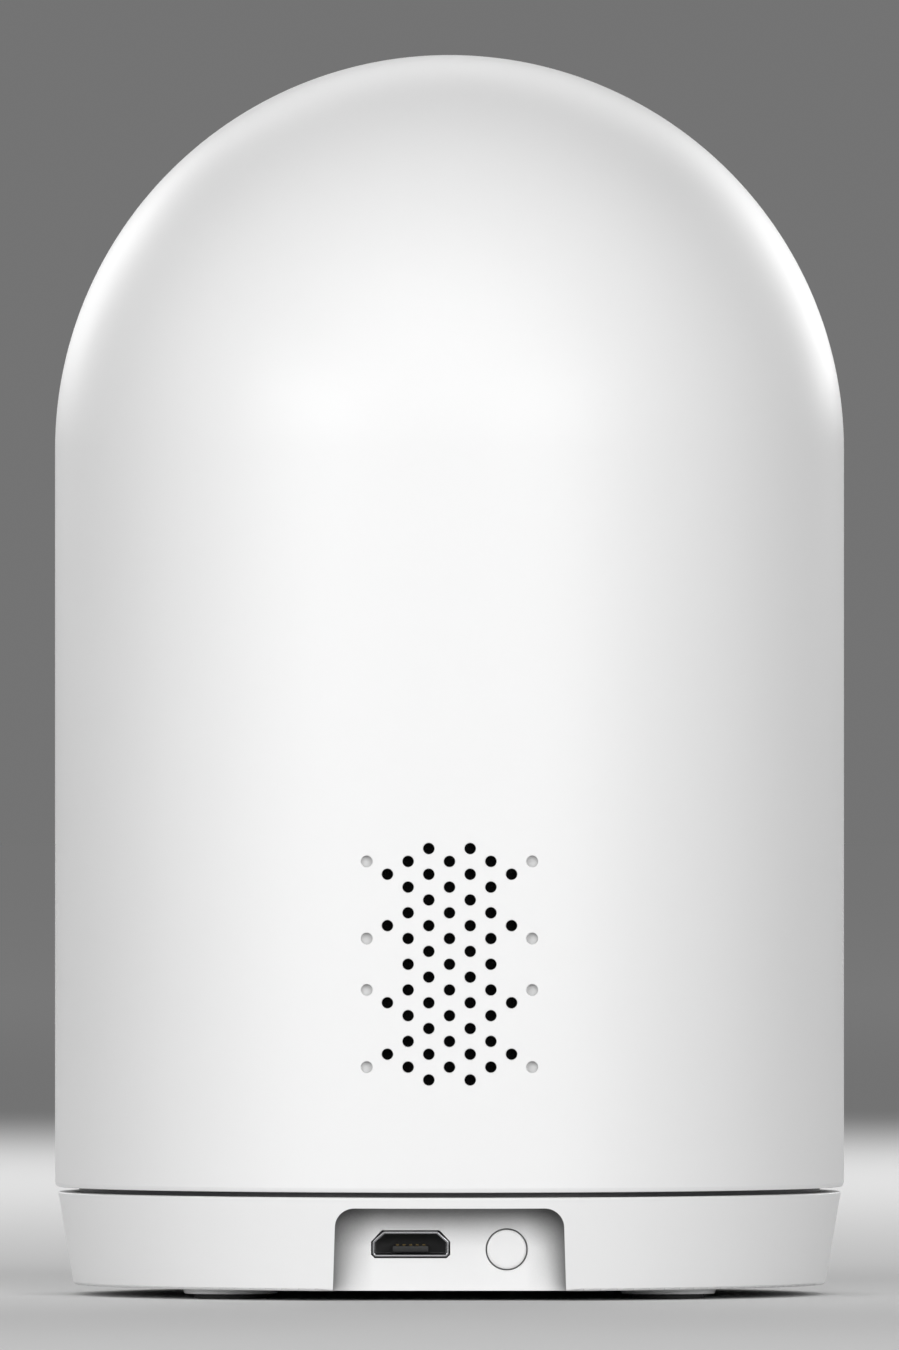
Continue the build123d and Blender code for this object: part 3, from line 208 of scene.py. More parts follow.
def quads(points, close_rows=False, close_columns=False):
    """A grid of points (rows, columns, xyz) as vertices and quads. A closed direction wraps round."""
    rows, columns = points.shape[:2]
    index = np.arange(rows * columns).reshape(rows, columns)
    if close_rows:
        index = np.vstack([index, index[:1]])
    if close_columns:
        index = np.hstack([index, index[:, :1]])
    faces = np.stack([index[:-1, :-1], index[:-1, 1:], index[1:, 1:], index[1:, :-1]], -1)
    return points.reshape(-1, 3), faces.reshape(-1, 4)


def frame_about(along):
    """Two directions square to a direction, and the direction itself."""
    along = np.asarray(along, float)
    side = np.array([1.0, 0, 0]) if abs(along[0]) < 0.9 else np.array([0, 1.0, 0])
    side = side - along * (side @ along)
    side /= np.linalg.norm(side)
    return side, np.cross(along, side), along


def turned(profile, centre, along=(0, 0, 1), count=96, closed=True):
    """A profile of (radius, distance along) points turned about an axis: each point makes a circle.
    A profile that isn't closed starts and ends on the axis."""
    profile = np.asarray(profile, float)
    a, b, c = frame_about(along)
    turn = np.linspace(0, 2 * np.pi, count, endpoint=False)
    ring = np.cos(turn)[:, None] * a + np.sin(turn)[:, None] * b
    points = np.asarray(centre, float) + profile[:, :1, None] * ring + profile[:, 1:, None] * c
    return quads(points, close_rows=closed, close_columns=True)


def put_in_scene(name, data):
    """An object for a mesh, a light or a camera, linked into the scene."""
    made = bpy.data.objects.new(name, data)
    bpy.context.scene.collection.objects.link(made)
    return made


WELD, SLIVER = 2e-7, 1e-8  # points nearer than this are one, and edges shorter than this go, in metres


def piece(name, body, made, shells, stands_for=(), sharp_deg=35.0):
    """Makes one object from shells of vertices in millimetres and faces, puts it on its body, and
    hides the CAD nodes that it stands for."""
    start, vertices, faces = 0, [], []
    for points, polygons in shells:
        vertices.append(points / 1000)
        faces += (polygons + start).tolist()
        start += len(points)
    data = bpy.data.meshes.new(name)
    data.from_pydata(np.vstack(vertices), [], faces)
    work = bmesh.new()
    work.from_mesh(data)
    bmesh.ops.remove_doubles(work, verts=work.verts, dist=WELD)
    bmesh.ops.dissolve_degenerate(work, dist=SLIVER, edges=work.edges)
    bmesh.ops.recalc_face_normals(work, faces=work.faces)
    work.to_mesh(data)
    work.free()
    data.shade_smooth()
    data.set_sharp_from_angle(angle=math.radians(sharp_deg))
    data.materials.append(made)
    made_object = put_in_scene(name, data)
    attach(made_object, body)
    if stands_for:
        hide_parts(*stands_for)
    return made_object


def pad_profile():
    """Half outline of a pad: flat top, soft edges, and a sole with shallow round-bottomed rings."""
    ring_r = np.linspace(0.0, PAD_R - 0.35, 60)
    sole = 0.05 - 0.05 * np.abs(np.cos(np.pi * SOLE_RINGS * ring_r / (PAD_R - 0.35))) ** 0.4
    edge = softened([(0.5, 0), (PAD_R, 0), (PAD_R, PAD_TOP), (0.5, PAD_TOP)], (0.01, 0.18, 0.1, 0.01))
    edge = edge[(edge[:, 0] > PAD_R - 0.3)]
    return np.vstack([np.stack([ring_r, sole], 1), edge, [(0, PAD_TOP)]])


silicone = moulded("black_silicone_rubber", "#3a3a3a", 0.72, 0.2, 0.01, specular=0.35)
feet = [(sx * FOOT_AT, sy * FOOT_AT, 0) for sx in (-1, 1) for sy in (-1, 1)]
piece(
    "silicone_feet", "base", silicone,
    [turned(pad_profile(), at, count=64, closed=False) for at in feet], ["rubber_feet"],
)


# -------- tripod insert
# A turned brass insert pressed into the middle of the base plate, knurled outside to hold in the
# plastic, with a quarter-inch tripod thread inside. Turned brass is bright with faint tool rings.
INSERT_R, INSERT_BORE_R, THREAD_R = 4.5, 2.6, 3.17
THREAD_PITCH = 1.27
KNURLS = 36


def metal(name, colour, roughness, stretch=(1, 1, 1), line_mm=0.15, line_depth_mm=0.002):
    """Bare metal with fine tool or brush lines: a noise squeezed across the lines and drawn out along
    them."""
    made, tree, mm = new_material(name)
    squeezed = add(tree, "ShaderNodeMapping", {"Vector": (mm, "Vector"), "Scale": stretch})
    lines = noise(tree, (squeezed, "Vector"), 1 / line_mm, 3.0)
    rough = spread(tree, (lines, "Fac"), roughness * 0.8, roughness * 1.25, (0.25, 0.75))
    bump = relief(tree, (lines, "Fac"), line_depth_mm, 0.5)
    return principled(
        made, tree,
        {"Base Color": linear(colour), "Metallic": 1.0, "Roughness": (rough, "Result")},
        bump,
    )


def insert_shell():
    """Profile rows turned in steps: the outer wall's radius dips by the knurl, the inner wall's follows
    a triangle wave that climbs one pitch each turn."""
    low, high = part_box("tripod_insert")
    z = np.linspace(low.z * 1000, high.z * 1000, 61)
    turn = np.linspace(0, 2 * np.pi, 144, endpoint=False)
    wave = 2 * np.abs(((z[:, None] / THREAD_PITCH - turn / (2 * np.pi)) % 1.0) - 0.5)
    fade = np.clip(np.minimum(z - z[0], z[-1] - z) / 0.35, 0, 1)[:, None]
    inner = INSERT_BORE_R + (THREAD_R - INSERT_BORE_R) * np.clip(wave * 1.3 - 0.15, 0, 1) * fade
    groove = (np.abs(z - z.mean() + 0.7) < 0.3) | (np.abs(z - z.mean() - 0.7) < 0.3)
    knurl = 0.16 * np.abs(np.sin(KNURLS / 2 * turn)) * fade
    outer = INSERT_R - knurl - 0.3 * groove[:, None]
    ring = np.stack([np.cos(turn), np.sin(turn)], 1)
    walls = []
    for radius, height in ((outer, z), (inner[::-1], z[::-1])):
        flat = radius[:, :, None] * ring
        walls.append(np.dstack([flat, np.broadcast_to(height[:, None], radius.shape)]))
    return quads(np.vstack(walls), close_rows=True, close_columns=True)


turned_brass = metal("turned_brass", "#c8a457", 0.22, (0.2, 0.2, 3.0))
piece("brass_tripod_insert", "base", turned_brass, [insert_shell()], ["tripod_insert"], 50)


# -------- screws
# Small pan-head machine screws with a cross recess and a rolled thread, zinc-plated steel blackened
# dark grey. One shape is worked out once and set down wherever a screw is.
HEAD_R, HEAD_HIGH, SHANK_R, SHANK_LONG = 1.7, 0.9, 0.9, 5.0
SCREW_PITCH = 0.55
DOME_ROWS, SHANK_ROWS = 14, 70


def screw_shell(count=40):
    """Rows from the middle of the head, over its dome, down its side, under it, and down the shank to
    the tip. The dome sinks where the point is near either arm of the cross, and the shank's radius
    follows a triangle wave that climbs one pitch each turn."""
    turn = np.linspace(0, 2 * np.pi, count, endpoint=False)
    dome_r = np.linspace(0, HEAD_R - 0.15, DOME_ROWS)
    dome = np.stack([dome_r, HEAD_HIGH - 0.12 * (dome_r / HEAD_R) ** 2], 1)
    side = [(HEAD_R, HEAD_HIGH - 0.3), (HEAD_R, 0.08), (HEAD_R - 0.08, 0), (SHANK_R, 0)]
    shank_z = np.linspace(-0.1, -SHANK_LONG + 0.4, SHANK_ROWS)
    shank = np.stack([np.full(SHANK_ROWS, SHANK_R), shank_z], 1)
    tip = [(SHANK_R * 0.55, -SHANK_LONG), (0, -SHANK_LONG)]
    rows = np.vstack([dome, side, shank, tip])
    radius = np.repeat(rows[:, :1], count, 1)
    height = np.repeat(rows[:, 1:], count, 1)
    x, y = radius * np.cos(turn), radius * np.sin(turn)
    arm = np.minimum(np.abs(x), np.abs(y))
    reach = np.maximum(np.abs(x), np.abs(y))
    sunk = np.clip((0.24 - arm) / 0.08, 0, 1) * np.clip((1.0 - reach) / 0.12, 0, 1)
    height[:DOME_ROWS] -= 0.45 * sunk[:DOME_ROWS]
    above = DOME_ROWS + len(side)
    on_shank = slice(above, above + SHANK_ROWS)
    wave = 2 * np.abs(((height[on_shank] / SCREW_PITCH - turn / (2 * np.pi)) % 1.0) - 0.5)
    grown = SHANK_R * (0.86 + 0.14 * wave) / np.maximum(radius[on_shank], 1e-9)
    x[on_shank] *= grown
    y[on_shank] *= grown
    return quads(np.dstack([x, y, height]), close_columns=True)


def set_down(shell, place, along):
    """A shell drawn about +Z, carried to a place with its Z laid along a direction."""
    points, faces = shell
    a, b, c = frame_about(along)
    return points @ np.stack([a, b, c]) + np.asarray(place, float), faces


def on_circle(radius, degrees):
    """Points on a circle about the origin, each at (r cos d, r sin d)."""
    return [(radius * math.cos(math.radians(d)), radius * math.sin(math.radians(d))) for d in degrees]


blackened_zinc = metal("blackened_zinc_steel", "#5a5a5c", 0.34, (1, 1, 1), 0.3)
one_screw = screw_shell()


def screws(name, body, places, stands_for):
    """The one screw set down at each (place, direction of its head)."""
    shells = [set_down(one_screw, place, way) for place, way in places]
    piece(name, body, blackened_zinc, shells, [stands_for])


UP, DOWN = (0, 0, 1), (0, 0, -1)
deck = 8.15
board_top = 4.29
gear_seat = 16.65
base_places = [((x, y, PAD_TOP + HEAD_HIGH), DOWN) for x, y, _ in feet]
base_places += [((x, y, deck), DOWN) for x, y in on_circle(6, (30, 150, 270))]
base_places += [((x, 19.5, board_top - 1), DOWN) for x in (-11, 11)]
base_places += [((x, y, gear_seat), UP) for x, y in on_circle(6, (90, 210, 330))]
screws("base_cross_screws", "base", base_places, "base_screws")

# The head's screws: four hold the floor to the shell, four hold the yoke, four the main board and two
# the pan motor. They are the same screw as in the base.
head_rim = 10.65
head_places = [((x, y, head_rim + 1.0), DOWN) for x, y in on_circle(34.2, (50, 130, 230, 310))]
head_places += [((sx * 30, sy * 5, 17.85), UP) for sx in (-1, 1) for sy in (-1, 1)]
head_places += [((sx * 18, sy * 6, 44.2), UP) for sx in (-1, 1) for sy in (-1, 1)]
head_places += [((x, -23.1, 19.8), UP) for x in (-15.5, 15.5)]
screws("head_cross_screws", "head", head_places, "head_screws")


# -------- power socket
# A micro-USB receptacle: a folded stainless shell, wide at the bottom with two chamfers above, round a
# black nylon tongue that carries five gold-plated contacts.
SOCKET_X, SOCKET_Z = 3.8, 5.54
SOCKET_HALF, SOCKET_TALL = 3.75, 1.25
CHAMFER, CHAMFER_FROM = 1.05, 0.25  # how far a chamfer cuts in, and the height over the middle it starts at
SLOPE_SHIFT = 0.42  # the chamfers move in square to themselves, so their ends shift by this share
BEND_R, LEAST_BEND_R, CHAMFER_BEND = 0.42, 0.08, 0.7
RING_POINTS = 36  # six corners, each an arc of six points
TONGUE_HALF, CONTACT_PITCH, CONTACT_HALF = 1.78, 0.65, 0.15
socket_low, socket_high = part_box("usb_shell")
socket_back, socket_front = socket_low.y * 1000, socket_high.y * 1000


def socket_outline(inset):
    """The mouth's outline in X and Z, moved inwards by inset, with its bends as arcs."""
    w, t = SOCKET_HALF - inset, SOCKET_TALL - inset
    slope = SLOPE_SHIFT * inset
    corners = [
        (-w, -t), (w, -t), (w, CHAMFER_FROM - slope), (w - CHAMFER + slope, t),
        (-w + CHAMFER - slope, t), (-w, CHAMFER_FROM - slope),
    ]
    soft = max(BEND_R - inset, LEAST_BEND_R)
    return softened(corners, (soft, soft) + 4 * (soft * CHAMFER_BEND,), 5)


def socket_rows(rows):
    """Outlines stacked along Y. Each row is an inset and a Y; an inset of None is a point in the middle."""
    made = []
    for inset, y in rows:
        ring = np.zeros((RING_POINTS, 2)) if inset is None else socket_outline(inset)
        made.append(np.stack([ring[:, 0] + SOCKET_X, np.full(RING_POINTS, y), ring[:, 1] + SOCKET_Z], 1))
    return quads(np.array(made), close_columns=True)


def soft_box(low, high, radius, steps=3):
    """A box with round edges: eight eighths of a small ball, one in each corner, joined by flats."""
    low, high = np.asarray(low, float), np.asarray(high, float)
    middle, half = (low + high) / 2, (high - low) / 2 - radius
    bend = quarter(steps + 1)
    rise = np.concatenate([np.pi / 2 - bend, -bend])
    up = np.concatenate([np.ones(steps + 1), -np.ones(steps + 1)])
    turn = np.concatenate([bend + k * np.pi / 2 for k in range(4)])
    sx = np.repeat([1, -1, -1, 1], steps + 1)
    sy = np.repeat([1, 1, -1, -1], steps + 1)
    x = half[0] * sx + radius * np.cos(rise)[:, None] * np.cos(turn)
    y = half[1] * sy + radius * np.cos(rise)[:, None] * np.sin(turn)
    z = np.broadcast_to((half[2] * up + radius * np.sin(rise))[:, None], x.shape)
    grid = np.dstack([x, y, z])
    ends = [np.broadcast_to([0, 0, s * (half[2] + radius)], (1, len(turn), 3)) for s in (1, -1)]
    points, faces = quads(np.vstack([ends[0], grid, ends[1]]), close_columns=True)
    return points + middle, faces


stainless = metal("stamped_stainless", "#a8a8aa", 0.2, (3, 0.4, 3), 0.25)
shell_rows = [
    (None, socket_back), (0.0, socket_back), (0.0, socket_front - 0.1), (0.04, socket_front - 0.02),
    (0.13, socket_front), (0.22, socket_front - 0.03), (0.27, socket_front - 0.14),
    (0.28, socket_back + 0.3), (None, socket_back + 0.3),
]
piece("socket_shell", "base", stainless, [socket_rows(shell_rows)], ["usb_shell"], 50)

black_nylon = moulded("black_nylon", "#161616", 0.5, 0.15, 0.006)
plug_rows = [
    (None, socket_back + 0.32), (0.34, socket_back + 0.32), (0.34, socket_back + 1.6),
    (None, socket_back + 1.6),
]
tongue = soft_box(
    (SOCKET_X - TONGUE_HALF, socket_back + 1.0, SOCKET_Z - 0.8),
    (SOCKET_X + TONGUE_HALF, socket_front - 0.65, SOCKET_Z - 0.14), 0.1,
)
piece("socket_tongue", "base", black_nylon, [socket_rows(plug_rows), tongue], ["usb_tongue"])

# The contacts are drawn darker and duller than gold plating is.
gold = metal("gold_plated_contacts", "#6b5c3c", 0.4, (3, 0.5, 3), 0.1)
contacts = [
    soft_box(
        (SOCKET_X + k * CONTACT_PITCH - CONTACT_HALF, socket_back + 1.7, SOCKET_Z - 0.15),
        (SOCKET_X + k * CONTACT_PITCH + CONTACT_HALF, socket_front - 0.72, SOCKET_Z - 0.03), 0.04, 2,
    )
    for k in range(-2, 3)
]
piece("socket_contacts", "base", gold, contacts, ["usb_contacts"])


# -------- reset button
# A white ABS cap that slides in a round hole beside the socket and presses a small tact switch behind.
# Its face is very slightly crowned and its edge is rounded, so the gap round it reads as a dark ring.
cap_low, cap_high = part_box("reset_button_cap")
CAP_X, CAP_Z = -5.59, 5.04
CAP_R, FLANGE_R, PIN_R = 1.93, 2.45, 0.7  # the cap is 0.04 smaller than in the CAD, for a wider ring
CAP_EDGE, CROWN = 0.24, 0.06
FLANGE_BACK, FLANGE_FRONT = 31.2, 31.9


def cap_profile():
    """From the crowned face's middle, over its round edge, down to the flange and the pin behind."""
    front, back = cap_high.y * 1000, cap_low.y * 1000
    face_r = np.linspace(0, CAP_R - CAP_EDGE, 10)
    face = np.stack([face_r, front - CROWN * (face_r / CAP_R) ** 2], 1)
    bend = quarter(8)[1:]
    drop = front - CROWN - CAP_EDGE
    edge = np.stack([CAP_R - CAP_EDGE + CAP_EDGE * np.sin(bend), drop + CAP_EDGE * np.cos(bend)], 1)
    rest = [
        (CAP_R, FLANGE_FRONT), (FLANGE_R, FLANGE_FRONT), (FLANGE_R, FLANGE_BACK), (PIN_R, FLANGE_BACK),
        (PIN_R, back), (0, back),
    ]
    return np.vstack([face, edge, rest])


cap_abs = moulded("white_abs_cap", WHITE_ABS, 0.36, ABS_GRAIN_MM)
piece(
    "reset_cap", "reset_button", cap_abs,
    [turned(cap_profile(), (CAP_X, 0, CAP_Z), (0, 1, 0), 96, closed=False)], ["reset_button_cap"],
)
dress(black_nylon, "tact_switch")


# -------- slide ring, hub, gear and ballast
# The dark slide ring that shows in the gap is filled acetal, the hub, the thrust washer and the gears
# are plain acetal, slightly waxy and off-white, and the ballast is a zinc-plated steel pressing.
dark_acetal = moulded("dark_filled_acetal", "#59595b", 0.38, 0.3)
acetal = moulded("natural_acetal", "#e4e1d6", 0.34, 0.3, specular=0.6)
zinc = metal("zinc_plated_steel", "#b4b8bc", 0.32, (1, 1, 1), 0.5)
dress(dark_acetal, "slide_ring")
dress(
    acetal, "pan_hub", "pan_gear", "thrust_washer", "pan_pinion", "tilt_gear", "tilt_pinion",
    "tilt_bushes", "tact_plunger",
)
dress(zinc, "base_weight", "pan_motor_plate", "tilt_motor_plate")


# -------- head shell
# The tall capsule of the head: one ABS moulding 2 mm thick, a straight wall with a half-round dome. The
# speaker holes low on the back are moulded straight through with soft mouths, the four at the corners
# are blind dimples, and the opening for the ball is cut through the front.
BODY_R, INNER_R = 39.0, 37.0
DOME_Z = 83.5
HEAD_Z = 10.65
RIM_INWARD, RIM_UPWARD = 0.17, 0.45
GRILLE_Z, COLUMN, ROW = 32.96, 2.02, 1.255
HOLE_R, MOUTH, DIMPLE_DEEP = 0.55, 0.1, 0.6
TILE = 8  # steps along each side of one grille tile
GRILLE_ROWS = 19
SLOT_HALF, TRIM_WALL = 20.0, 1.2
SLOT_LOW, SLOT_HIGH = math.radians(-16.0), math.radians(51.0)
DIMPLE_ROWS, WIDE_ROWS = (1, 7, 11, 17), (2, 6, 12, 16)


def tile_kind(column, row):
    """What stands in one tile of the staggered grille: a hole, a dimple or nothing."""
    if row % 2:
        inside = column in (-2, 0, 2)
        return "dimple" if abs(column) == 4 and row in DIMPLE_ROWS else "hole" if inside else ""
    reach = 3 if row in WIDE_ROWS else 1
    return "hole" if abs(column) <= reach else ""


def skin_rows():
    """Heights of the rows up the wall, then angles up the dome. The rows through the grille are fine."""
    low, high = GRILLE_Z - 10 * ROW, GRILLE_Z + 10 * ROW
    start = HEAD_Z + RIM_UPWARD
    below = np.linspace(start, low, 7)[:-1]
    through = np.linspace(low, high, 10 * TILE + 1)
    above = np.linspace(high, DOME_Z, 22)[1:-1]
    return np.concatenate([below, through, above]), quarter(61), len(below)


def skin_turns(radius):
    """Angles round the wall from +Y towards +X: the grille's columns stand at even steps of X, so at
    the arcsine of X over the radius, and the rest of the way round is in even steps."""
    x = np.linspace(-4.5 * COLUMN, 4.5 * COLUMN, 9 * TILE + 1)
    front = np.arcsin(x / radius)
    rest = np.linspace(front[-1], 2 * np.pi + front[0], 160)[1:-1]
    return np.concatenate([front, rest])


def skin(radius, edge):
    """The wall and dome of one side as a grid. A point is (r sin turn, r cos turn, height) on the wall,
    and on the dome r shrinks by the cosine of the angle up. edge is the (radius, height) rows below."""
    heights, rises, _ = skin_rows()
    turns = skin_turns(radius)
    r = np.concatenate([[e[0] for e in edge], np.full(len(heights), radius), radius * np.cos(rises)])
    z = np.concatenate([[e[1] for e in edge], heights, DOME_Z + radius * np.sin(rises)])
    x = r[:, None] * np.sin(turns)
    y = r[:, None] * np.cos(turns)
    return np.dstack([x, y, np.broadcast_to(z[:, None], x.shape)])


def grille_shells(outer, inner, first_row):
    """Which quads of each skin give way to holes, and the walls of the holes themselves. A ring of
    points round a tile's border closes in on the circle, rounds the mouth and goes in along Y."""
    keep = [np.ones((g.shape[0] - 1, g.shape[1]), bool) for g in (outer, inner)]
    shells = []
    side = np.arange(TILE)
    up = np.concatenate([0 * side, side, 0 * side + TILE, TILE - side])
    across = np.concatenate([side, 0 * side + TILE, TILE - side, 0 * side])
    angle = np.radians(-135) + np.arange(4 * TILE) * 2 * np.pi / (4 * TILE)
    circle = np.stack([np.cos(angle), np.sin(angle)], 1)
    bend = quarter(5)
    mouth = [(HOLE_R + MOUTH * (1 - math.sin(b)), MOUTH * (1 - math.cos(b))) for b in bend]
    for row in range(GRILLE_ROWS):
        for column in range(-4, 5):
            kind = tile_kind(column, row) if (row + column) % 2 else ""
            if not kind:
                continue
            j = (column + 4) * TILE
            i = first_row + (GRILLE_ROWS - 1 - row) * TILE // 2
            middle = np.array([column * COLUMN, GRILLE_Z + (GRILLE_ROWS // 2 - row) * ROW])
            rings = []
            border = outer[i + up, j + across]
            flat = border[:, [0, 2]] - middle
            for share in (0.0, 0.45, 0.8):
                spot = flat * (1 - share) + circle * mouth[0][0] * share + middle
                rings.append((spot, np.sqrt(BODY_R**2 - spot[:, 0] ** 2)))
            for radius, deep in mouth:
                spot = circle * radius + middle
                rings.append((spot, np.sqrt(BODY_R**2 - spot[:, 0] ** 2) - deep))
            keep[0][i : i + TILE, j : j + TILE] = False
            if kind == "dimple":
                floor_y = math.sqrt(BODY_R**2 - middle[0] ** 2) - DIMPLE_DEEP
                for radius, deep in ((HOLE_R, -0.05), (HOLE_R - 0.02, -0.014), (HOLE_R - 0.06, 0), (0, 0)):
                    rings.append((circle * radius + middle, np.full(4 * TILE, floor_y - deep)))
            else:
                keep[1][i : i + TILE, j : j + TILE] = False
                for share in (1.0, 0.5, 0.0):
                    back = inner[i + up, j + across][:, [0, 2]] - middle
                    spot = back * (1 - share) + circle * HOLE_R * share + middle
                    rings.append((spot, np.sqrt(INNER_R**2 - spot[:, 0] ** 2)))
            grid = np.array([np.stack([spot[:, 0], y, spot[:, 1]], 1) for spot, y in rings])
            shells.append(quads(grid, close_columns=True))
    return keep, shells


def head_shells():
    """Both skins joined at the bottom rim, with the holes let in."""
    low_edge = [(BODY_R - RIM_INWARD - 0.1, HEAD_Z), (BODY_R - RIM_INWARD, HEAD_Z + 0.05)]
    outer = skin(BODY_R, low_edge)
    inner = skin(INNER_R, [(INNER_R + 0.1, HEAD_Z), (INNER_R, HEAD_Z + 0.1)])
    first_row = skin_rows()[2] + 2
    keep, shells = grille_shells(outer, inner, first_row)
    for grid, kept in zip((outer, inner), keep):
        points, faces = quads(grid, close_columns=True)
        shells.append((points, faces[kept.reshape(-1)]))
    shells.append(quads(np.array([outer[0], inner[0]]), close_columns=True))
    return shells


def opening_outline():
    """The ball's opening as a fan: from an outline of two half circles and two straight sides, rays run
    out from near the ball's centre. A point is t d(e) + half (cos a X + sin a n(e)), where d is the
    ray's direction at elevation e and n stands square to it in the plane of the fan."""
    steps = np.linspace(0, np.pi, 65)
    sweep = np.linspace(SLOT_LOW, SLOT_HIGH, 40)[1:-1]
    a = np.concatenate([np.pi + steps, 0 * sweep, steps, 0 * sweep + np.pi])
    e = np.concatenate([0 * steps + SLOT_LOW, sweep, 0 * steps + SLOT_HIGH, sweep[::-1]])
    return a, e


def fan_point(a, e, half, t):
    """The point t d(e) + half (cos a X + sin a n(e)), from the dome's centre."""
    x = half * np.cos(a)
    y = -t * np.cos(e) + half * np.sin(a) * np.sin(e)
    z = DOME_Z + t * np.sin(e) + half * np.sin(a) * np.cos(e)
    return np.stack([x, y, z], -1)


CUT_FROM, CUT_TO = 15.0, 60.0


def cut_opening(made_object, half):
    """Takes the fan out of a piece, between two distances along its rays."""
    a, e = opening_outline()
    rows = [fan_point(a, e, half, t) for t in (CUT_FROM, CUT_TO)]
    middles = [np.broadcast_to(r.mean(0), r.shape) for r in rows]
    points, faces = quads(np.array([middles[0], rows[0], rows[1], middles[1]]), close_columns=True)
    cutter = piece("opening_cutter", "head", white_abs, [(points, faces)])
    cut = made_object.modifiers.new("opening", "BOOLEAN")
    cut.object, cut.operation, cut.solver = cutter, "DIFFERENCE", "EXACT"
    made = bpy.data.meshes.new_from_object(made_object.evaluated_get(bpy.context.evaluated_depsgraph_get()))
    made_object.modifiers.clear()
    made_object.data = made
    bpy.data.objects.remove(cutter)


def skin_normals(made_object):
    """Sets the normals of the outer skin from the capsule itself: away from the axis on the wall, and
    from the dome's centre above it. A face with a corner off the skin keeps its own."""
    made = made_object.data
    points = np.empty(len(made.vertices) * 3)
    made.vertices.foreach_get("co", points)
    points = points.reshape(-1, 3) * 1000
    away = points - np.stack([0 * points[:, 0], 0 * points[:, 0], np.minimum(points[:, 2], DOME_Z)], 1)
    away[:, 2] = np.maximum(points[:, 2] - DOME_Z, 0)
    length = np.linalg.norm(away, axis=1)
    on_skin = np.abs(length - BODY_R) < 0.002
    corner = np.empty(len(made.loops), np.int64)
    made.loops.foreach_get("vertex_index", corner)
    totals = np.empty(len(made.polygons), np.int64)
    made.polygons.foreach_get("loop_total", totals)
    first = np.concatenate([[0], np.cumsum(totals)[:-1]])
    whole = np.repeat(np.minimum.reduceat(on_skin[corner].astype(int), first), totals).astype(bool)
    normals = np.where(whole[:, None], away[corner] / np.maximum(length[corner], 1e-9)[:, None], 0)
    made.normals_split_custom_set(normals.tolist())


POST_R, PILOT_R, FLOOR_TOP, POST_TOP = 3.2, 0.95, 12.85, 30.0
post_outline = [
    (PILOT_R, FLOOR_TOP), (POST_R, FLOOR_TOP), (POST_R, POST_TOP), (0, POST_TOP), (0, FLOOR_TOP + 6),
    (PILOT_R, FLOOR_TOP + 6),
]
shell_posts = on_circle(34.2, (50, 130, 230, 310))
posts = [turned(post_outline, (x, y, 0), count=32) for x, y in shell_posts]
head_shell = piece("capsule_shell", "head", white_abs, head_shells(), ["head_shell"], 40)
cut_opening(head_shell, SLOT_HALF + TRIM_WALL)
skin_normals(head_shell)
piece("capsule_posts", "head", white_abs, posts)


# -------- slot trim
# The liner of the opening, in dark grey ABS: a thin sleeve that follows the opening from the shell's
# outside in to just short of the ball, with a rounded lip, pressed into the shell from outside.
REACH, BALL_R, BALL_GAP, LIP = 38.75, 35.3, 0.45, 0.3


def fan_reach(a, e, half):
    """How far along a ray the sleeve may go: out to the capsule of radius REACH, which is a cylinder
    below the dome's centre and a sphere above it, solved from |t d + q| = REACH."""
    q = fan_point(a, e, half, 0.0) - [0, 0, DOME_Z]
    on_dome = np.sqrt(REACH**2 - (q**2).sum(-1))
    flat = np.sqrt(np.maximum(REACH**2 - q[..., 0] ** 2, 0))
    on_wall = (flat + q[..., 1]) / np.cos(e)
    low = on_wall * np.sin(e) + q[..., 2] < 0
    return np.where(low, on_wall, on_dome)


def trim_shell():
    """Rows across the sleeve's section: up its inner face, over the rounded lip, down its outer face."""
    a, e = opening_outline()
    outer_half = SLOT_HALF + TRIM_WALL - 0.02
    bend = quarter(6)
    rows = [(SLOT_HALF, None)]
    rows += [(SLOT_HALF + LIP * (1 - math.cos(b)), LIP * (1 - math.sin(b))) for b in bend]
    rows += [(outer_half - 0.1, 0.0), (outer_half, 0.1), (outer_half, None)]
    grid = []
    for half, deep in rows:
        if deep is None:
            t = np.sqrt((BALL_R + BALL_GAP) ** 2 - half**2)
        else:
            t = fan_reach(a, e, half) - deep
        grid.append(fan_point(a, e, half, t))
    return quads(np.array(grid), close_rows=True, close_columns=True)


trim_grey = moulded("charcoal_abs", "#4a4a4c", 0.45, 0.3)
piece("opening_trim", "head", trim_grey, [trim_shell()], ["slot_trim"], 40)


# -------- speaker
# Behind the holes: a black woven dust mesh stuck to the shell, then the driver with its paper cone,
# black frame and steel magnet cup, sealed in a black box. The mesh is what keeps the holes dark.
def mesh_cloth(name, colour, thread_mm):
    """Woven cloth: two waves across each other, each lifting where the other dips."""
    made, tree, mm = new_material(name)
    waves = []
    for direction in ("X", "Z"):
        waves.append(add(
            tree, "ShaderNodeTexWave", {"Vector": (mm, "Vector"), "Scale": 0.5 / thread_mm},
            bands_direction=direction, wave_profile="SIN",
        ))
    both = add(tree, "ShaderNodeMath", {0: (waves[0], "Fac"), 1: (waves[1], "Fac")}, operation="MAXIMUM")
    bump = relief(tree, (both, "Value"), 0.2, 0.8)
    return principled(
        made, tree,
        {"Base Color": linear(colour), "Roughness": 0.85, "Specular IOR Level": 0.2, "Sheen Weight": 0.1},
        bump,
    )


dress(mesh_cloth("black_dust_mesh", "#0c0c0c", 0.25), "speaker_mesh")
black_abs = moulded("black_abs", "#1c1c1e", 0.5, 0.3)
dress(black_abs, "speaker_frame", "speaker_box", "head_floor", "yoke", "lens_holder", "harness_plug")
dress(moulded("coated_paper_cone", "#2a2a2a", 0.8, 0.8, 0.03, specular=0.2), "speaker_cone")
dress(zinc, "speaker_magnet")


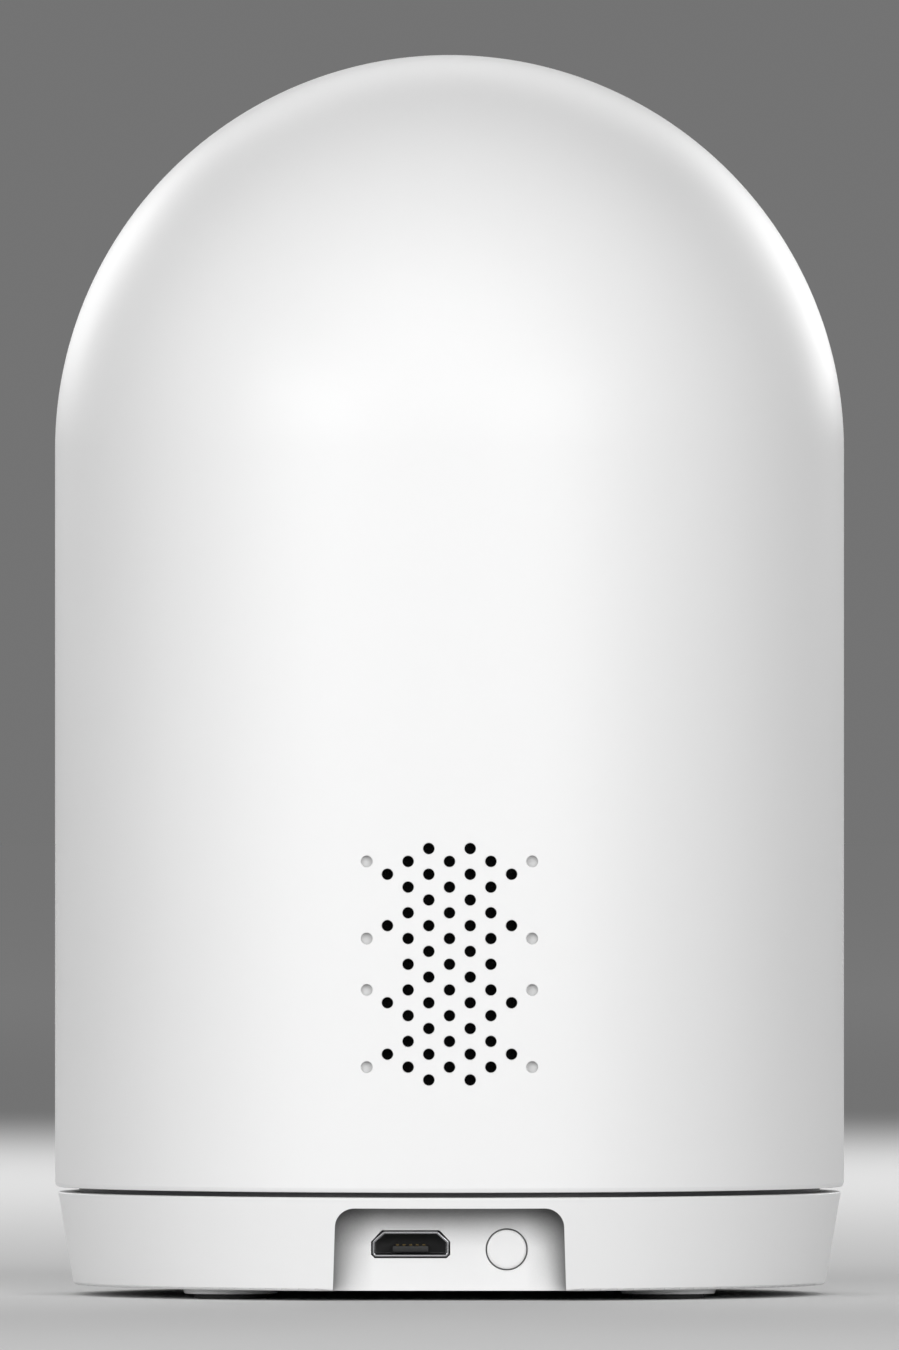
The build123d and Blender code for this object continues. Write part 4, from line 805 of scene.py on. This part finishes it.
# -------- lens unit's shells
# The ball in two ABS halves, white like the head, and its face: a cover of smoked polycarbonate with a
# polished front, black to the eye but clear to the infrared lamps behind it.
dress(white_abs, "ball_front", "ball_back")
smoked = moulded("smoked_gloss_polycarbonate", "#060607", 0.06, 4.0, 0.002, coat=1.0, specular=0.6)
dress(smoked, "face_cover")


# -------- lens
# A satin black bezel, a black aluminium barrel whose front rim is turned bright-edged, and two coated
# glass elements whose reflection, painted into their colour, is faintly violet and green.
def lens_piece(name, outline, made, stands_for, sharp_deg=30.0, count=128, closed=True):
    """A profile of radius and distance in front of the ball's centre, turned about the lens's axis."""
    shell = turned(outline, (0, 0, DOME_Z), (0, -1, 0), count, closed)
    return piece(name, "lens_unit", made, [shell], stands_for, sharp_deg)


bezel_black = moulded("satin_black_bezel", "#101011", 0.35, 0.2)
bezel_corners = [(6.7, 31.0), (8.5, 31.0), (8.5, 34.2), (8.1, 34.2), (6.7, 32.6)]
bezel = softened(bezel_corners, (0.05, 0.05, 0.12, 0.12, 0.1), 5)
lens_piece("lens_bezel", bezel, bezel_black, ["lens_ring"])

anodised = metal("black_anodised_aluminium", "#1a1a1c", 0.3, (0.3, 3.0, 0.3))
BARREL_GROOVES = 9


def barrel_outline():
    """The barrel's section: a threaded tail, a collar, a rim with soft corners, and fine stray-light
    grooves down the front of its bore, each a small step in radius."""
    tail = np.linspace(17.2, 25.6, 60)
    thread = 5.35 + 0.2 * np.abs(((tail / 0.5) % 1.0) * 2 - 1)
    rows = [(3.5, 17.0), (5.35, 17.0)]
    rows += list(zip(thread, tail))
    rows += [(5.55, 26.0), (6.45, 26.0), (6.6, 26.15)]
    rows += [(6.6, 33.85), (6.55, 34.0), (6.25, 34.27), (6.1, 34.3), (5.7, 34.3), (5.6, 34.27), (5.2, 33.8)]
    rows += [(5.2, 32.4)]
    for k in range(BARREL_GROOVES):
        share = k / BARREL_GROOVES
        r, front = 5.2 - 1.7 * share, 32.4 - 1.0 * share
        rows += [(r - 0.04, front), (r - 0.04, front - 0.1)]
    rows += [(3.5, 31.3)]
    return rows


lens_piece("threaded_barrel", barrel_outline(), anodised, ["lens_barrel"])


def coated_glass(name, tint, painted_bore_colour):
    """Coated glass over a dark bore: clear at the front, its reflection tinted by a thin film, and mostly
    the dark stop behind seen through it. Both are painted into its colour: a painted reflection in the
    film's tint where it faces the view, and the painted dark stop towards its rim."""
    made, tree, _ = new_material(name)
    facing = add(tree, "ShaderNodeLayerWeight", {"Blend": 0.35})
    colour = add(
        tree, "ShaderNodeMix", {0: (facing, "Facing"), 6: linear(tint), 7: linear(painted_bore_colour)}, data_type="RGBA"
    )
    return principled(
        made, tree,
        {"Base Color": (colour, 2), "Roughness": 0.02, "IOR": 1.7, "Coat Weight": 1.0, "Coat Roughness": 0.01,
         "Coat Tint": linear(tint), "Specular IOR Level": 0.7},
    )


def glass_outline(rim, front_middle, back, curve):
    """Half a lens: a front crown of one radius, whose depth falls off as curve - sqrt(curve^2 - r^2),
    a thin bevelled edge and a flat back."""
    r = np.linspace(0, rim - 0.1, 24)
    crown = front_middle - (curve - np.sqrt(curve**2 - r**2))
    edge = [(rim, crown[-1] - 0.1), (rim, back + 0.1), (rim - 0.1, back), (0, back)]
    return np.vstack([np.stack([r, crown], 1), edge])


# Each glass's colour is a painted reflection where it faces the view and the painted dark bore towards its
# rim.
front_glass = coated_glass("coated_front_glass", "#241a3c", "#06120e")
lens_piece(
    "front_element", glass_outline(5.13, 35.0, 32.45, 12.6), front_glass,
    ["lens_front_glass"], closed=False,
)
rear_glass = coated_glass("coated_rear_glass", "#102a22", "#050505")
lens_piece(
    "rear_element", glass_outline(3.43, 19.5, 18.0, 9.0), rear_glass,
    ["lens_rear_glass"], closed=False,
)


# -------- circuit boards and antenna
# Glass-epoxy boards under green solder mask, its surface lifted a little along the copper tracks below,
# and a flexible amber polyimide antenna stuck inside the wall.
def solder_mask(name, colour, track):
    """Solder mask: a brick pattern of long thin cells stands for copper tracks, paler than the rest."""
    made, tree, mm = new_material(name)
    cells = add(
        tree, "ShaderNodeTexBrick",
        {"Vector": (mm, "Vector"), "Scale": 0.35, "Mortar Size": 0.03, "Brick Width": 2.6, "Row Height": 0.5,
         "Color1": linear(colour), "Color2": linear(colour), "Mortar": linear(track)},
    )
    bump = relief(tree, (cells, "Fac"), 0.03, 0.6)
    return principled(
        made, tree,
        {"Base Color": (cells, "Color"), "Roughness": 0.3, "Coat Weight": 0.4, "Coat Roughness": 0.15},
        bump,
    )


green_mask = solder_mask("green_solder_mask", "#123d22", "#2c6b3e")
dress(green_mask, "base_board", "main_board", "sensor_board")
dress(solder_mask("black_solder_mask", "#101312", "#1e2422"), "ir_board")
dress(moulded("amber_polyimide_film", "#b5651d", 0.3, 0.5, 0.002, coat=0.5), "wifi_antenna")


# -------- chips
# Black epoxy chips with fine tinned legs on the main board, each body a moulded block with soft edges
# and a round mark in one corner, and the image sensor under its cover glass.
MAIN_TOP = 44.2
chip_sizes = [  # middle in X and Y, then width, depth and height
    (0, -8, 12, 12, 1.2), (-13, -14, 9, 9, 1.0), (-14, 0, 5, 6, 0.9), (-3, 6, 6, 5, 0.9),
    (10, 7.5, 10, 4, 1.8),
]
LEG_PITCH, LEG_WIDE, LEG_LONG, BODY_INSET = 0.8, 0.3, 0.55, 0.5


def chip_legs(x, y, wide, deep):
    """Flat feet along both long sides, one every pitch, as soft boxes lying on the board."""
    legs = []
    for side in (-1, 1):
        for k in range(int((deep - 1) / LEG_PITCH)):
            middle = y - deep / 2 + 0.8 + k * LEG_PITCH
            reach = sorted((x + side * wide / 2, x + side * (wide / 2 - LEG_LONG)))
            low = (reach[0], middle - LEG_WIDE / 2, MAIN_TOP)
            high = (reach[1], middle + LEG_WIDE / 2, MAIN_TOP + 0.22)
            legs.append(soft_box(low, high, 0.05, 1))
    return legs


epoxy = moulded("black_epoxy", "#17181a", 0.55, 0.12, 0.004)
tinned = metal("tinned_copper", "#c9c9c4", 0.3, (1, 1, 1), 0.3)
chip_bodies, all_legs = [], []
for x, y, wide, deep, tall in chip_sizes:
    half_x, half_y = wide / 2 - BODY_INSET, deep / 2
    low, high = (x - half_x, y - half_y, MAIN_TOP + 0.05), (x + half_x, y + half_y, MAIN_TOP + tall)
    chip_bodies.append(soft_box(low, high, 0.12, 2))
    mark = [
        (0, tall - 0.02), (0.3, tall - 0.02), (0.34, tall + 0.015), (0.4, tall + 0.015), (0.44, tall - 0.02),
    ]
    spot = (x - half_x + 0.9, y - half_y + 0.9, MAIN_TOP)
    chip_bodies.append(turned([(r, min(h, tall)) for r, h in mark] + [(0.3, tall - 0.1)], spot, count=24))
    all_legs += chip_legs(x, y, wide, deep)
piece("epoxy_chips", "head", epoxy, chip_bodies, ["main_board_chips"])
piece("chip_legs", "head", tinned, all_legs)

tin_plate = metal("tin_plate", "#bfc2c4", 0.28, (1, 1, 1), 0.8)
dress(tin_plate, "main_board_shield", "sd_socket")
# The sensor's cover glass paints its reflection and the dark behind it into its colour, as the lens glass
# does.
dress(coated_glass("sensor_cover_glass", "#1b2c3a", "#0b1016"), "image_sensor")


# -------- motors
# Two small geared steppers: drawn nickel-plated steel cans with a rolled edge and a seam groove, on
# zinc-plated ear plates, with ground steel shafts.
nickel = metal("nickel_plated_can", "#c6c3bb", 0.24, (0.3, 3.0, 3.0), 0.6)
ground_steel = metal("ground_steel", "#b9bbbe", 0.18, (0.2, 0.2, 3.0), 0.1)
SEAM_DEEP, SEAM_HALF = 0.18, 0.35


def can_outline(radius, low, high):
    """A can's section from the middle of its foot to the middle of its top: square foot, a seam groove
    a third of the way up, and a rolled top edge of half a millimetre, then a raised middle boss."""
    seam = low + (high - low) / 3
    bend = quarter(7)
    roll = [(radius - 0.6 + 0.6 * math.cos(b), high - 0.6 + 0.6 * math.sin(b)) for b in bend]
    foot = [(0, low), (radius, low)]
    groove = [
        (radius, seam - SEAM_HALF), (radius - SEAM_DEEP, seam - SEAM_HALF / 2),
        (radius - SEAM_DEEP, seam + SEAM_HALF / 2), (radius, seam + SEAM_HALF),
    ]
    inside = radius * 0.62
    step = [(inside, high), (inside - 0.25, high - 0.3), (3.2, high - 0.3), (3.0, high), (0, high)]
    return foot + groove + roll + step


def motor(name, body, radius, low, high, centre, along, can_node):
    """A drawn can from low to high along an axis through centre, in place of its CAD node."""
    shell = turned(can_outline(radius, low, high), centre, along, 96, closed=False)
    return piece(name, body, nickel, [shell], [can_node], 40)


motor("pan_motor_drawn_can", "head", 12.0, 19.8, 35.8, (0, -23.1, 0), UP, "pan_motor_can")
tilt_low, tilt_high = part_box("tilt_motor_can")
tilt_middle = (tilt_low + tilt_high) * 500
motor(
    "tilt_motor_drawn_can", "lens_unit", 10.0, tilt_low.x * 1000, tilt_high.x * 1000,
    (0, tilt_middle.y, tilt_middle.z), (1, 0, 0), "tilt_motor_can",
)
dress(ground_steel, "pan_motor_shaft", "tilt_motor_shaft")
dress(turned_brass, "board_pillars")


# -------- lead to the head
# Four thin PVC-covered wires laid together in a slow twist, from the socket board along under the deck
# and up through the hollow hub to the plug on the main board.
LEAD_BEND, LEAD_LAY, LEAD_OFFSET, WIRE_R = 2.7, 14.0, 0.42, 0.36


def lead_path():
    """Corner points joined by straight runs and quarter circles, at even small steps."""
    turns = quarter(12)
    low_z, high_z, start_y, top_z = board_top, 7.1, 17.0, 39.35
    points = [(0, start_y, z) for z in np.linspace(low_z, high_z - LEAD_BEND, 3)[:-1]]
    points += [
        (0, start_y - LEAD_BEND * (1 - math.cos(b)), high_z - LEAD_BEND * (1 - math.sin(b))) for b in turns
    ]
    points += [(0, y, high_z) for y in np.linspace(start_y - LEAD_BEND, LEAD_BEND, 14)[1:-1]]
    points += [(0, LEAD_BEND * (1 - math.sin(b)), high_z + LEAD_BEND * (1 - math.cos(b))) for b in turns]
    points += [(0, 0, z) for z in np.linspace(high_z + LEAD_BEND, top_z, 40)[1:]]
    return np.array(points)


def twisted_wires(path, count=4):
    """Each wire's middle circles the path once every lay: path + offset (cos s X + sin s n), where n is
    square to the path in the YZ plane; round each middle stands a ring of points."""
    along = np.gradient(path, axis=0)
    along /= np.linalg.norm(along, axis=1)[:, None]
    side = np.broadcast_to([1.0, 0, 0], path.shape)
    normal = np.cross(along, side)
    run = np.concatenate([[0], np.cumsum(np.linalg.norm(np.diff(path, axis=0), axis=1))])
    ring = np.linspace(0, 2 * np.pi, 14, endpoint=False)
    wires = []
    for k in range(count):
        s = 2 * np.pi * (run / LEAD_LAY + k / count)
        middle = path + LEAD_OFFSET * (np.cos(s)[:, None] * side + np.sin(s)[:, None] * normal)
        round_it = np.cos(ring)[:, None] * side[:, None] + np.sin(ring)[:, None] * normal[:, None]
        grid = middle[:, None] + WIRE_R * round_it
        ends = [np.broadcast_to(middle[i], (1, 14, 3)) for i in (0, -1)]
        wires.append(quads(np.vstack([ends[0], grid, ends[1]]), close_columns=True))
    return wires


grey_pvc = moulded("grey_pvc_wire", "#3c3c3e", 0.5, 0.4)
piece("twisted_lead", "base", grey_pvc, twisted_wires(lead_path()), ["pan_harness"], 60)


# -------- infrared lamps, microphone, light pipe
# Eight surface-mount infrared lamps with clear epoxy domes on the ring board, a drilled steel
# microphone can and a clear acrylic light pipe for the status light.
def clear_epoxy(name, tint, roughness):
    """Clear plastic, whose dense tint keeps it readable in front of a black board."""
    made, tree, mm = new_material(name)
    haze = noise(tree, (mm, "Vector"), 0.8)
    rough = spread(tree, (haze, "Fac"), roughness * 0.6, roughness * 1.6)
    return principled(
        made, tree,
        {"Base Color": linear(tint), "Roughness": (rough, "Result"), "IOR": 1.5, "Transmission Weight": 0.85},
    )


LAMP_RING, BOARD_FRONT = 13.0, -26.2
DOME_R, LAMP_TALL = 1.25, 1.15


def lamp_shells():
    """A soft-edged square body for each lamp and a dome on it, turned from a quarter circle."""
    dome = [(DOME_R * math.cos(b), DOME_R * math.sin(b)) for b in quarter(12)]
    dome = [(DOME_R, -0.2)] + dome
    bodies, domes = [], []
    for x, z in on_circle(LAMP_RING, [22.5 + 45 * k for k in range(8)]):
        turn = math.atan2(z, x)
        points, faces = soft_box((-1.5, -LAMP_TALL, -1.5), (1.5, 0, 1.5), 0.12, 2)
        c, s = math.cos(turn), math.sin(turn)
        square = points @ np.array([[c, 0, s], [0, 1, 0], [-s, 0, c]])
        bodies.append((square + [x, BOARD_FRONT, DOME_Z + z], faces))
        domes.append(turned(dome, (x, BOARD_FRONT - LAMP_TALL, DOME_Z + z), (0, -1, 0), 40, closed=False))
    return bodies, domes


lamp_bodies, lamp_domes = lamp_shells()
clear = clear_epoxy("clear_epoxy_dome", "#e8ecf0", 0.05)
lamp_ceramic = moulded("white_lamp_ceramic", "#c9c7bd", 0.5, 0.2)
piece("lamp_bodies", "lens_unit", lamp_ceramic, lamp_bodies, ["ir_leds"])
piece("lamp_domes", "lens_unit", clear, lamp_domes, (), 60)

can = [
    (0, 0.95), (0.42, 0.95), (0.42, 1.22), (0.5, 1.3), (1.4, 1.3), (1.5, 1.2), (1.5, 0.0), (0, 0.0),
]
piece(
    "microphone_can", "lens_unit", nickel,
    [turned(can, (0, BOARD_FRONT, DOME_Z - 14.0), (0, -1, 0), 48, closed=False)], ["microphone"],
)
pipe = [(0, 0), (1.3, 0), (1.3, 1.4), (1.2, 1.5), (0.75, 1.5), (0.75, 6.2), (0.6, 6.33), (0, 6.35)]
piece(
    "light_pipe", "lens_unit", clear,
    [turned(pipe, (0, BOARD_FRONT, DOME_Z + 13.5), (0, -1, 0), 40, closed=False)], ["status_light"],
)

# Six more of the same screws: four close the ball from behind and two hold the tilt motor.
ball_places = [((sx * 15.5, 9.0, DOME_Z + sz * 22.0), (0, 1, 0)) for sx in (-1, 1) for sz in (-1, 1)]
SHAFT_FROM_CENTRE, SHAFT_ANGLE = 15, math.radians(-20)
tilt_shaft_y = SHAFT_FROM_CENTRE * math.cos(SHAFT_ANGLE)
tilt_shaft_z = DOME_Z + SHAFT_FROM_CENTRE * math.sin(SHAFT_ANGLE)
ball_places += [((-16.6, tilt_shaft_y - 4.6, tilt_shaft_z + 2.9 + s * 13.0), (1, 0, 0)) for s in (-1, 1)]
screws("ball_cross_screws", "lens_unit", ball_places, "ball_screws")


# -------- light and camera
# A pale floor under soft light in a grey room, and a long lens, level and well back, at the height
# of the object's middle. Further out the floor's colour is painted paler, painted light where the lamps'
# light falls off, so that it meets the room more softly. The strengths of the lights come from a
# least-squares fit of the shading, rounded and then rescaled.
TABLE = 8.0  # half the floor's width, in metres
# The far floor colour is painted light: the floor grows paler where the lamps' light falls off.
NEAR_TABLE, FAR_TABLE_PAINTED_LIGHT = "#dcdcdc", "#ffffff"
FADE_FROM, FADE_TO = 0.8, 3.0
VIEW_FROM, VIEW_HIGH = 3.0, 0.0612
VIEW_WIDE = 0.1335  # the height that the view takes in, in metres
AIM = Vector((0, 0, 0.065))


def soft_light(name, turn_deg, rise_deg, away, size, watts):
    """A rectangle of light that faces the aim from a distance away: its direction is turn_deg round
    from +Y towards +X and rise_deg above the horizon."""
    data = bpy.data.lights.new(name, "AREA")
    data.shape, data.size, data.size_y, data.energy = "RECTANGLE", size[0], size[1], watts
    turn, rise = math.radians(turn_deg), math.radians(rise_deg)
    way = Vector((math.sin(turn) * math.cos(rise), math.cos(turn) * math.cos(rise), math.sin(rise)))
    lamp = put_in_scene(name, data)
    lamp.location, lamp.rotation_euler = AIM + away * way, (-way).to_track_quat("-Z", "Y").to_euler()
    lamp.visible_camera = False


floor_data = bpy.data.meshes.new("table_top")
corners = [(sx * TABLE, sy * TABLE, 0) for sx, sy in ((-1, -1), (1, -1), (1, 1), (-1, 1))]
floor_data.from_pydata(corners, [], [(0, 1, 2, 3)])
# The floor's colour grows paler with distance from the middle: painted light where the lamps' light falls
# off.
table, tree, mm = new_material("pale_table")
away = add(tree, "ShaderNodeVectorMath", {0: (mm, "Vector")}, operation="LENGTH")
fade = add(
    tree, "ShaderNodeMapRange",
    {"Value": (away, "Value"), "From Min": 1000 * FADE_FROM, "From Max": 1000 * FADE_TO},
    interpolation_type="SMOOTHSTEP",
)
pale = add(
    tree, "ShaderNodeMix", {0: (fade, "Result"), 6: linear(NEAR_TABLE), 7: linear(FAR_TABLE_PAINTED_LIGHT)},
    data_type="RGBA",
)
matt = add(tree, "ShaderNodeBsdfDiffuse", {"Color": (pale, 2)})
floor_data.materials.append(finish_material(table, tree, matt))
put_in_scene("table_top", floor_data)

room = bpy.data.worlds.new("room")
room.use_nodes = True
room.node_tree.nodes.clear()
room_light = add(room.node_tree, "ShaderNodeBackground", {"Color": linear("#c8c8c8"), "Strength": 0.3})
add(room.node_tree, "ShaderNodeOutputWorld", {"Surface": (room_light, "Background")})
bpy.context.scene.world = room

soft_light("back_low", 0, 9, 1.6, (0.9, 0.36), 1.4)
soft_light("back_middle", 0, 18, 1.5, (0.9, 0.5), 0.9)
soft_light("back_raised", 0, 30, 1.5, (1.3, 0.5), 1.8)
soft_light("back_high", 0, 45, 1.3, (1.4, 0.5), 3.1)
soft_light("left_20", 22, 11, 1.5, (0.4, 0.45), 0.8)
soft_light("right_20", -22, 11, 1.5, (0.4, 0.45), 2.6)
soft_light("left_35", 35, 11, 1.5, (0.3, 0.45), 3.1)
soft_light("right_35", -35, 11, 1.5, (0.3, 0.45), 3.6)
soft_light("left_50", 50, 12, 1.4, (0.4, 0.45), 2.7)
soft_light("front_left", 150, 16, 1.0, (0.4, 0.4), 2.0)
soft_light("front_right", -150, 16, 1.0, (0.4, 0.4), 2.4)
soft_light("front_high", 180, 35, 1.0, (0.8, 0.3), 2.0)

lens = bpy.data.cameras.new("view")
lens.sensor_width = 36.0
lens.lens = lens.sensor_width * VIEW_FROM / VIEW_WIDE
lens.clip_end = 100.0
camera = put_in_scene("view", lens)
camera.location = (0, VIEW_FROM, VIEW_HIGH)
camera.rotation_euler = (math.radians(90), 0, math.radians(180))
bpy.context.scene.camera = camera
bpy.context.scene.view_settings.view_transform = "Standard"
